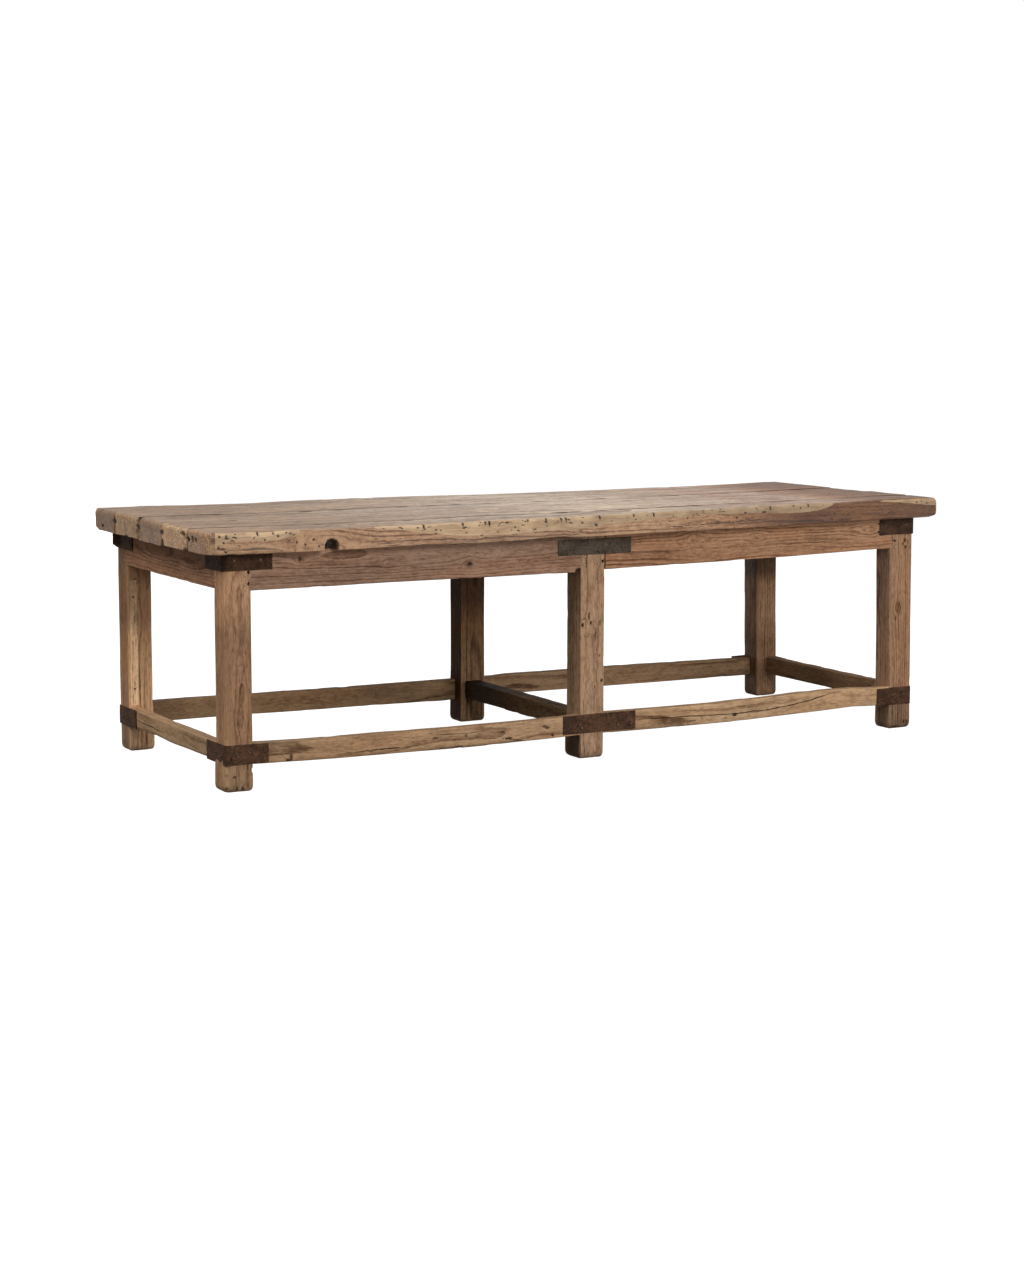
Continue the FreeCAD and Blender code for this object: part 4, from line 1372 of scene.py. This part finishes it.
FRONT_RAIL_STEPS = (6.0, 6.0, 3.6, 6.0)
RAIL_DETAILS = {
    "apron_front_left": dict(
        tint=(0.84, 0.86, 1.02),
        side_step=FRONT_RAIL_STEPS,
        pith=(50, 60),
        figure=0.95,
        ring_width=9.0,
        coarse=0.7,
        marks=[
            Mark((-47, LEG_FACE, 613), (12, 12, 9), 7, 0.85), face_mark(-1012, 693, 4, 4, 3),
            face_mark(-437, 653, 6, 5, 2, 0.9),
        ],
        knots=[Knot(-437, 653, 10), Knot(-1009, 694, 9), Knot(-720, 668, 7, 0)],
        swells=[
            Swell(-860, 690, 150, 24, 18), Swell(-600, 660, 190, 26, 14), Swell(-260, 680, 170, 24, 16),
        ],
        edges={"-w": ((-1172, -2.5), (-736, -3), (-572, -4), (-320, -5), (-43, -6.5))},
    ),
    "apron_front_right": dict(
        tint=(1.1, 1.02, 1.02),
        side_step=FRONT_RAIL_STEPS,
        pith=(40, -90),
        figure=1.1,
        ring_width=9.0,
        coarse=0.7,
        gaps=(8, 0),
        shade=((43, 0.92), (600, 0.95), (800, 0.97), (1172, 1.03)),
        swells=[
            Swell(400, 668, 60, 30, 12), Swell(760, 660, 220, 26, 8), Swell(1040, 685, 110, 22, 16),
        ],
        edges={
            "-w": ((43, -2), (119, -1.5), (484, 1), (771, 4.5), (965, 7.6), (1064, 10.8), (1172, 12)),
        },
        knots=[
            Knot(383, 690, 12, 0.6), Knot(383, 646, 9, 0.3), Knot(627, 684, 10, 0.5),
            Knot(1073, 692, 14, 0.4),
        ],
        splits=[Split(((700, 655), (860, 652), (1010, 656)), 0.4)],
    ),
    "apron_back_left": dict(tint=(0.8, 0.78, 0.8), pith=(-64, 10)),
    "apron_back_right": dict(tint=(0.85, 0.8, 0.8), pith=(-70, -10)),
    "stretcher_front_left": dict(
        tint=(1.08, 1.12, 1.12),
        shade=((-1172, 0.8, 0.86, 0.9), (-900, 0.92, 0.95, 0.97), (-700, 1, 1, 1)),
        side_step=FRONT_RAIL_STEPS,
        radii=(4, 4, 5, 4),
        ring_width=8.0,
        coarse=0.7,
        pith=(60, 8),
        marks=[
            face_mark(-1046, 97, 5, 9, 3, 0.8), Mark((-1054, LEG_FACE, 88), (10, 10, 4), 4, 0.9),
            face_mark(-560, 118, 8, 3, 2, 0.7), face_mark(-300, 98, 14, 3, 3, 0.9),
            face_mark(-172, 122, 7, 4, 2, 0.8), face_mark(-160, 117, 8, 4, 2, 0.8),
            face_mark(-140, 93, 5, 5, 4, 0.9), face_mark(-321, 118, 9, 3, 2, 0.7),
            face_mark(-452, 118, 2.5, 9, 2, 0.7), face_mark(-478, 84, 16, 4, 3, 0.9),
        ],
        splits=[
            Split(((-380, 104), (-330, 101), (-270, 91), (-220, 80)), 0.9),
            Split(((-880, 96), (-760, 98), (-640, 99)), 0.9),
            Split(((-560, 128), (-480, 126), (-400, 127)), 0.6),
        ],
        edges={
            "+w": (
                (-1172, 3), (-1040, 1.7), (-871, 3), (-716, 4.3), (-557, 2.1), (-396, 0.7), (-231, -1.4),
            ),
            "-w": ((-1172, -1.6), (-871, -2.3), (-716, -0.7), (-557, -2.4), (-396, -4.6), (-43, -4.7)),
        },
    ),
    "stretcher_front_right": dict(
        tint=(1.25, 1.38, 1.42),
        side_step=FRONT_RAIL_STEPS,
        radii=(4, 4, 5, 4),
        ring_width=8.0,
        coarse=0.75,
        pith=(70, -20),
        edges={
            "+w": (
                (466, 0), (556, 3), (647, 5), (743, 7.4), (836, 11), (930, 11), (1024, 9), (1110, 3),
            ),
            "-w": (
                (111, -5.7), (556, -6), (647, -3.3), (743, -1), (836, 1), (930, 5), (1024, 7), (1110, 2),
            ),
        },
        marks=[face_mark(548, 104, 10, 4, 3)],
        splits=[Split(((182, 117), (411, 112), (568, 107), (690, 108), (807, 115), (949, 135)), 1.1)],
    ),
    "stretcher_back_left": dict(
        tint=(0.80, 0.83, 0.80),
        ring_width=9.0,
        coarse=0.65,
        pith=(66, 4),
        knots=[Knot(-336, 112, 9, 0.9), Knot(-517, 119, 10, 0.3)],
        edges={
            "+w": (
                (-1136, 8.5), (-1059, 10), (-946, 7.7), (-781, 6), (-635, 6.5), (-434, 3.5), (-106, 1.5),
            ),
            "-w": ((-800, 0), (-600, -3.5), (-434, -3.5), (-272, -5.8), (-106, -9)),
        },
    ),
    "stretcher_back_right": dict(
        tint=(1.0, 1.04, 1.05),
        ring_width=9.0,
        coarse=0.65,
        pith=(62, 0),
        knots=[Knot(600, 114, 9, 0.2)],
        edges={
            "+w": ((90, 1.2), (170, 6), (615, 6.5), (745, 4.5), (873, 1.7), (994, 0), (1125, -5.4)),
            "-w": ((200, -2), (500, -0.5), (745, -2.4), (994, -5), (1150, -8)),
        },
    ),
    "apron_left_end": dict(
        tint=(1.06, 0.97, 1.0),
        pith=(45, 62),
        figure=1.1,
        ring_width=9.0,
        coarse=0.8,
        face=2,
        swells=[Swell(-170, 662, 110, 24, 16), Swell(120, 668, 130, 26, 14)],
    ),
    "apron_right_end": dict(tint=(0.85, 0.8, 0.8), pith=(5, -66), face=2),
    "stretcher_left_end": dict(
        tint=(1.3, 1.4, 1.4),
        radii=(4, 5, 5, 9),
        rub_and_highlight=1.5,
        ring_width=7.0,
        coarse=0.75,
        pith=(8, 70),
        face=2,
        splits=[
            Split(((60, 108), (180, 110), (330, 113)), 1.1),
            Split(((-300, 128), (-200, 127), (-90, 129)), 0.5),
        ],
    ),
    "stretcher_right_end": dict(
        # Painted light and shadow: darker over all, lit towards the front end, with the right face
        # lightened back
        tint=(0.68, 0.68, 0.65),
        painted_side_light=(1.0, 1.4, 1.0, 1.0),
        shade=((-400, 2.7), (-150, 2.6), (20, 1.22), (360, 1.2)),
        ring_width=8.0,
        coarse=0.75,
        pith=(8, -70),
        face=2,
    ),
    "stretcher_middle": dict(
        # Painted light and shadow: lit towards the front end and darker towards the back as painted
        # shadow, its top and left faces darker
        tint=(0.85, 0.76, 0.64),
        painted_side_light=(0.32, 1.0, 0.6, 0.32),
        shade=(
            (-400, 3.1, 3.6, 3.9), (-150, 3.0, 3.5, 3.8), (60, 1.1, 1.1, 1.1), (200, 0.24, 0.22, 0.15),
        ),
        pith=(10, 90),
        face=2,
    ),
}
RAIL_SEED = 51
for number, (name, details) in enumerate(RAIL_DETAILS.items(), RAIL_SEED):
    place, half = ("middle", "end") if name == "stretcher_middle" else name.split("_")[1:]
    if half == "end":
        start, end = LEGS["front", place][1][1], LEGS["back", place][0][1]
        add_rail(name, "y", start, end, number, **details)
    else:
        first, last = ("left", "middle") if half == "left" else ("middle", "right")
        start, end = LEGS[place, first][1][0], LEGS[place, last][0][0]
        add_rail(name, "x", start, end, number, **details)

# Straps and plates: flat bars, worn and then bent

STRAP_THICKNESS = 4 * MM
STRAP_STEPS = (8.0, 2.0, 3.5, 2.0)
EDGE_WANDER = 1.4 * MM
EDGE_CELLS_ALONG, EDGE_CELLS_UP = 14, 18
BEND_STATIONS = 6
BULGE_REACH, BULGE_START = 45 * MM, 0.2


def wander_edges(table, seed):
    """Lets the edges of a strap run a little up and down."""
    x, _, z = table.T
    cells = np.column_stack((x * EDGE_CELLS_ALONG, z * EDGE_CELLS_UP, np.full(len(table), 0.5)))
    return z + EDGE_WANDER * lattice_noise(cells, seed)


def strap_mesh(name, low, high, seed, stations, warp, tint):
    """Mesh of a flat iron bar, worn and then bent by its warp."""
    bar = Board(
        name=name,
        axis="x",
        low=low,
        high=high,
        seed=seed,
        step=4.0,
        side_step=STRAP_STEPS,
        radii=(0.8, 0.8, 1.0, 1.0),
        end_radii=(0.9, 0.9),
        end_insets=((0.9, 0.9, 0.9), (0.9, 0.9, 0.9)),
        wear=0.5,
        chips=0.8,
        stations=stations,
        warp=warp,
        tint=tint,
    )
    return board_mesh(bar)


def add_corner_strap(
    name, into_x, into_y, seed, bend_radius=6.0, bulge=0.0, sag=0.0, trim=0.0, tint=(1, 1, 1)
):
    """Strap bent round a corner of the frame: end arm, bend, then the long arm, which may be trimmed.

    It may bulge at its bend, and its lower edge may sag."""
    low, high = node_box(name)
    corner = np.array([
        low[axis] + STRAP_THICKNESS if into > 0 else high[axis] - STRAP_THICKNESS
        for axis, into in enumerate((into_x, into_y))
    ])
    long_arm, end_arm = (high - low)[:2] - STRAP_THICKNESS
    long_arm -= trim * MM
    half = STRAP_THICKNESS / 2
    inner = bend_radius * MM - STRAP_THICKNESS
    reach = bend_radius * MM - half
    turn = reach * math.pi / 2
    first = end_arm - inner
    length = first + turn + long_arm - inner
    bend_start, bend_end = first - length / 2, first + turn - length / 2
    stations = tuple(np.linspace(bend_start, bend_end, BEND_STATIONS) / MM)

    def bend(table):
        along, out = table[:, 0], -table[:, 1]
        height = wander_edges(table, seed)
        rise = np.clip((table[:, 2] - low[2]) / (high[2] - low[2]), 0, 1)
        near_bend = fade(np.abs(along - first), BULGE_REACH, 0)
        out = out + bulge * MM * near_bend * fade(rise, 0, BULGE_START)
        height -= sag * MM * (1 - rise)
        angle = np.clip((along - first) / reach, 0, math.pi / 2)
        x = inner - (reach + out) * np.cos(angle) + np.maximum(along - first - turn, 0)
        y = inner - (reach + out) * np.sin(angle) + np.maximum(first - along, 0)
        return np.column_stack((corner[0] + into_x * x, corner[1] + into_y * y, height))

    bar_low, bar_high = (0, -half, low[2]), (length, half, high[2])
    mesh = strap_mesh(name, bar_low, bar_high, seed, stations, bend, tint)
    if into_x * into_y < 0:
        mesh.flip_normals()
    add_piece(f"{name}_iron", mesh, STRAP_IRON, "strap_iron", name)


def add_flat_strap(name, seed, material, slot, tint=(1, 1, 1)):
    """Straight strap or plate across a middle leg."""
    low, high = node_box(name)

    def wander(table):
        return np.column_stack((table[:, 0], table[:, 1], wander_edges(table, seed)))

    mesh = strap_mesh(name, low, high, seed, (), wander, tint)
    add_piece(f"{name}_iron", mesh, material, slot, name)


STRAP_DETAILS = {
    "upper_strap_front_left": dict(bend_radius=17.0, tint=(0.65, 0.65, 0.63)),
    "upper_strap_front_right": dict(trim=18.0, tint=(0.82, 0.86, 0.92)),
    # Darker as painted shadow under the top
    "upper_strap_back_left": dict(bulge=13.0, sag=6.0, tint=(0.66, 0.68, 0.6)),
    "lower_strap_front_left": dict(bend_radius=9.0),
}
PLATE_TINT = (1.15, 1.17, 1.2)
STRAP_SEEDS = {"upper": 81, "lower": 91}
PLATE_SEED, MIDDLE_STRAP_SEED = 101, 103
for number, (side, into_y) in enumerate((("front", 1), ("back", -1))):
    for turn, (half, into_x) in enumerate((("left", 1), ("right", -1))):
        for level, first_seed in STRAP_SEEDS.items():
            name = f"{level}_strap_{side}_{half}"
            seed = first_seed + 2 * number + turn
            add_corner_strap(name, into_x, into_y, seed, **STRAP_DETAILS.get(name, {}))
    plate, strap = f"upper_plate_{side}", f"lower_strap_{side}_middle"
    add_flat_strap(plate, PLATE_SEED + number, PLATE_STEEL, "plate_steel", PLATE_TINT)
    add_flat_strap(strap, MIDDLE_STRAP_SEED + number, STRAP_IRON, "strap_iron")

# Nails, screws and pegs: one node tree sets a domed fastener on every place

WELD = 0.02 * MM
HEAD_REACH = 4 * MM
HEAD_TURNS, HEAD_RINGS, SHANK_SIDES = 12, 7, 8
FASTENER_INPUTS = (
    ("Head radius", "NodeSocketFloat"),
    ("Head height", "NodeSocketFloat"),
    ("Shank radius", "NodeSocketFloat"),
    ("Shank length", "NodeSocketFloat"),
    ("Lean", "NodeSocketFloat"),
    ("Seed", "NodeSocketInt"),
    ("Finish", "NodeSocketMaterial"),
)


def fastener_tree():
    """Node tree that sets a head and shank on each point, along the point's own direction."""
    tree = bpy.data.node_groups.new("fasteners", "GeometryNodeTree")
    tree.interface.new_socket("Places", in_out="INPUT", socket_type="NodeSocketGeometry")
    for label, kind in FASTENER_INPUTS:
        tree.interface.new_socket(label, in_out="INPUT", socket_type=kind)
    tree.interface.new_socket("Fasteners", in_out="OUTPUT", socket_type="NodeSocketGeometry")
    bench = Bench(tree)
    given = bench.node("NodeGroupInput").outputs

    ball_size = {"Segments": HEAD_TURNS, "Rings": HEAD_RINGS, "Radius": 1.0}
    ball = bench.out("GeometryNodeMeshUVSphere", ball_size, "Mesh")
    level = bench.out("ShaderNodeSeparateXYZ", {0: bench.out("GeometryNodeInputPosition")}, 2)
    crown = {"Geometry": ball, "Name": "crown", "Value": level}
    crowned = bench.out("GeometryNodeStoreNamedAttribute", crown, data_type="FLOAT")
    spread = bench.combine(given["Head radius"], given["Head radius"], given["Head height"])
    head = bench.out("GeometryNodeTransform", {"Geometry": crowned, "Scale": spread})
    bar_size = {"Vertices": SHANK_SIDES, "Radius": given["Shank radius"], "Depth": given["Shank length"]}
    bar = bench.out("GeometryNodeMeshCylinder", bar_size, "Mesh")
    drop = bench.combine(z=bench.math("MULTIPLY", given["Shank length"], -0.5))
    shank = bench.out("GeometryNodeTransform", {"Geometry": bar, "Translation": drop})
    whole = bench.node("GeometryNodeJoinGeometry")
    for part in (head, shank):
        bench.feed(whole.inputs[0], part)

    stored = "GeometryNodeInputNamedAttribute"
    way = bench.out(stored, {"Name": "way"}, "Attribute", data_type="FLOAT_VECTOR")
    size = bench.out(stored, {"Name": "size"}, "Attribute", data_type="FLOAT")
    aimed = bench.out("FunctionNodeAlignRotationToVector", {"Vector": way}, axis="Z")
    backward = bench.math("MULTIPLY", given["Lean"], -1.0)
    least, most = bench.combine(backward, backward), bench.combine(given["Lean"], given["Lean"])
    limits = {0: least, 1: most, "Seed": given["Seed"]}
    lean = bench.out("FunctionNodeRandomValue", limits, data_type="FLOAT_VECTOR")
    tilt = bench.out("FunctionNodeEulerToRotation", {0: lean})
    turned = bench.out("FunctionNodeRotateRotation", {0: aimed, 1: tilt}, rotation_space="LOCAL")
    setting = {"Points": given["Places"], "Instance": whole.outputs[0], "Rotation": turned, "Scale": size}
    placed = bench.out("GeometryNodeInstanceOnPoints", setting)
    real = bench.out("GeometryNodeRealizeInstances", {"Geometry": placed})
    finish = bench.out("GeometryNodeSetMaterial", {"Geometry": real, "Material": given["Finish"]})
    bench.feed(bench.node("NodeGroupOutput").inputs[0], finish)
    return tree


def solids_of(node):
    """Points of each separate solid in a packed group."""
    shape = bmesh.new()
    shape.from_mesh(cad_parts[node].data)
    bmesh.ops.remove_doubles(shape, verts=shape.verts, dist=WELD)
    shape.verts.index_update()
    left, solids = set(range(len(shape.verts))), []
    shape.verts.ensure_lookup_table()
    for index in range(len(shape.verts)):
        if index not in left:
            continue
        left.discard(index)
        queue, found = [index], []
        while queue:
            vert = shape.verts[queue.pop()]
            found.append(tuple(vert.co))
            beside = [edge.other_vert(vert).index for edge in vert.link_edges]
            fresh = [number for number in beside if number in left]
            left.difference_update(fresh)
            queue += fresh
        solids.append(np.array(found))
    shape.free()
    return solids


def outer_end(points):
    """Outer end of a fastener, its outward direction, its head's radius and its length."""
    low, high = points.min(0), points.max(0)
    axis = int(np.argmax(high - low))
    middle = (low + high) / 2
    across = np.delete(points - middle, axis, 1)
    width = np.linalg.norm(across, axis=1)
    near = width[points[:, axis] < low[axis] + HEAD_REACH].max()
    far = width[points[:, axis] > high[axis] - HEAD_REACH].max()
    sign = np.sign(far - near) if abs(far - near) > MM else np.sign(middle[axis])
    way = np.zeros(3)
    way[axis] = sign
    end = middle.copy()
    end[axis] = high[axis] if sign > 0 else low[axis]
    return end, way, max(near, far), (high - low)[axis]


FASTENERS = fastener_tree()


def add_fasteners(node, material, slot, seed, lean, head_height, shank_share, dome_out):
    """Domed fasteners in place of a packed group, one for each of its solids.

    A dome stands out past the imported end, or is sunk so that its crown ends there."""
    ends, ways, radii, lengths = (np.array(part) for part in zip(*map(outer_end, solids_of(node))))
    head_radius, length = radii.max(), lengths.max()
    sunk = 0.0 if dome_out else head_height * MM
    spots = bpy.data.meshes.new(f"{node}_places")
    spots.from_pydata((ends - ways * sunk).tolist(), [], [])
    attribute(spots, "way", ways)
    attribute(spots, "size", radii / head_radius)
    holder = bpy.data.objects.new(f"{node}_places", spots)
    bpy.context.scene.collection.objects.link(holder)
    modifier = holder.modifiers.new("fasteners", "NODES")
    modifier.node_group = FASTENERS
    settings = {
        "Head radius": float(head_radius),
        "Head height": head_height * MM,
        "Shank radius": float(head_radius * shank_share),
        "Shank length": float(length - sunk),
        "Lean": lean,
        "Seed": seed,
        "Finish": material,
    }
    for socket in FASTENERS.interface.items_tree:
        if socket.name in settings:
            modifier[socket.identifier] = settings[socket.name]
    made = holder.evaluated_get(bpy.context.evaluated_depsgraph_get())
    mesh = bpy.data.meshes.new_from_object(made)
    holder.modifiers.remove(modifier)
    bpy.data.objects.remove(holder)
    mesh.name = node
    mesh.polygons.foreach_set("use_smooth", np.ones(len(mesh.polygons), bool))
    mesh.polygons.foreach_set("material_index", np.zeros(len(mesh.polygons), np.int32))
    add_piece(f"{node}_set", mesh, material, slot, node)


NAIL = dict(
    material=NAIL_IRON, slot="nail_iron", lean=0.10, head_height=2.6, shank_share=0.36, dome_out=False
)
PEG = dict(
    material=PEG_WOOD, slot="peg_wood", lean=0.05, head_height=0.9, shank_share=0.98, dome_out=True
)
FASTENER_SETS = {
    "upper_strap_nails": dict(NAIL, seed=3),
    "lower_strap_nails": dict(NAIL, seed=5),
    "upper_plate_screws": dict(NAIL, seed=7, lean=0.03),
    "patch_nails": dict(NAIL, seed=9, shank_share=0.5),
    "apron_pegs": dict(PEG, seed=11),
    "stretcher_pegs": dict(PEG, seed=13),
}
for node, details in FASTENER_SETS.items():
    add_fasteners(node, **details)

# Hidden pieces kept as packed

KEPT = {
    "middle_bearer": CROSS_WOOD,
    "left_top_cleat": CROSS_WOOD,
    "right_top_cleat": CROSS_WOOD,
    "plank_dowels": PEG_WOOD,
    "cleat_screws": SCREW_STEEL,
    "top_screws": SCREW_STEEL,
}
for name, material in KEPT.items():
    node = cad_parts[name]
    node.data.materials.clear()
    node.data.materials.append(material)

# Floor, light and camera

FLOOR_HALF = 30.0
FLOOR_GLOW = 0.97
FLOOR_LIT, FLOOR_SEEN = (0.10, 0.10, 0.10, 1), (0.3, 0.3, 0.3, 1)


def seen_directly(bench):
    """One for rays that show the floor or backdrop, in view or in a reflection."""
    seen = bench.node("ShaderNodeLightPath").outputs
    return bench.most(seen["Is Camera Ray"], seen["Is Glossy Ray"], seen["Is Transmission Ray"])


def pale_floor():
    """Pale floor that shows white and keeps a faint shadow."""
    material, bench, surface = new_material("pale_floor")
    shown = seen_directly(bench)
    bench.feed(surface.inputs["Base Color"], bench.mix(shown, FLOOR_LIT, FLOOR_SEEN))
    surface.inputs["Roughness"].default_value = 1.0
    surface.inputs["Specular IOR Level"].default_value = 0.0
    surface.inputs["Emission Color"].default_value = (1, 1, 1, 1)
    bench.feed(surface.inputs["Emission Strength"], shown * FLOOR_GLOW)
    return material


floor_mesh = bpy.data.meshes.new("floor")
floor_corners = [(x * FLOOR_HALF, y * FLOOR_HALF, 0) for x, y in ((-1, -1), (1, -1), (1, 1), (-1, 1))]
floor_mesh.from_pydata(floor_corners, [], [(0, 1, 2, 3)])
floor_mesh.materials.append(pale_floor())
floor = bpy.data.objects.new("floor", floor_mesh)
bpy.context.scene.collection.objects.link(floor)

DOME_LIGHT = 0.15
world = bpy.data.worlds.new("studio")
bpy.context.scene.world = world
world.use_nodes = True
bench = Bench(world.node_tree)
backdrop = world.node_tree.nodes["Background"]
backdrop.inputs["Color"].default_value = (1, 1, 1, 1)
strength = seen_directly(bench) * (1 - DOME_LIGHT) + DOME_LIGHT
bench.feed(backdrop.inputs["Strength"], strength)

# Soft lights: place, what they point at, size and power
LAMPS = {
    "key": ((-0.6, -9.0, 5.0), (0, 0, 0.5), 4.0, 505.0),
    "fill": ((2.8, -9.0, 1.1), (0, 0, 0.5), 3.0, 270.0),
    "side": ((-6.0, -1.0, 6.0), (0, 0, 0.5), 4.0, 330.0),
    "over": ((0.5, -1.0, 6.0), (0, 0, 0.5), 4.0, 110.0),
    "back": ((0.5, 9.0, 0.4), (0, 0, 0.4), 1.2, 420.0),
    "right": ((9.0, 1.5, 0.4), (0, 0, 0.4), 1.2, 300.0),
}
for name, (place, aim, size, power) in LAMPS.items():
    light = bpy.data.lights.new(name, "AREA")
    light.shape, light.size, light.energy = "DISK", size, power
    lamp = bpy.data.objects.new(name, light)
    lamp.location = place
    lamp.rotation_euler = (Vector(aim) - Vector(place)).to_track_quat("-Z", "Y").to_euler()
    bpy.context.scene.collection.objects.link(lamp)

camera_data = bpy.data.cameras.new("camera")
camera_data.lens, camera_data.sensor_width = CAMERA_LENS, CAMERA_SENSOR
camera = bpy.data.objects.new("camera", camera_data)
camera.location = CAMERA_PLACE
camera.rotation_euler = (math.radians(90 - CAMERA_TILT), 0, math.radians(-CAMERA_TURN))
bpy.context.scene.collection.objects.link(camera)
bpy.context.scene.camera = camera
bpy.context.scene.view_settings.view_transform = "Standard"
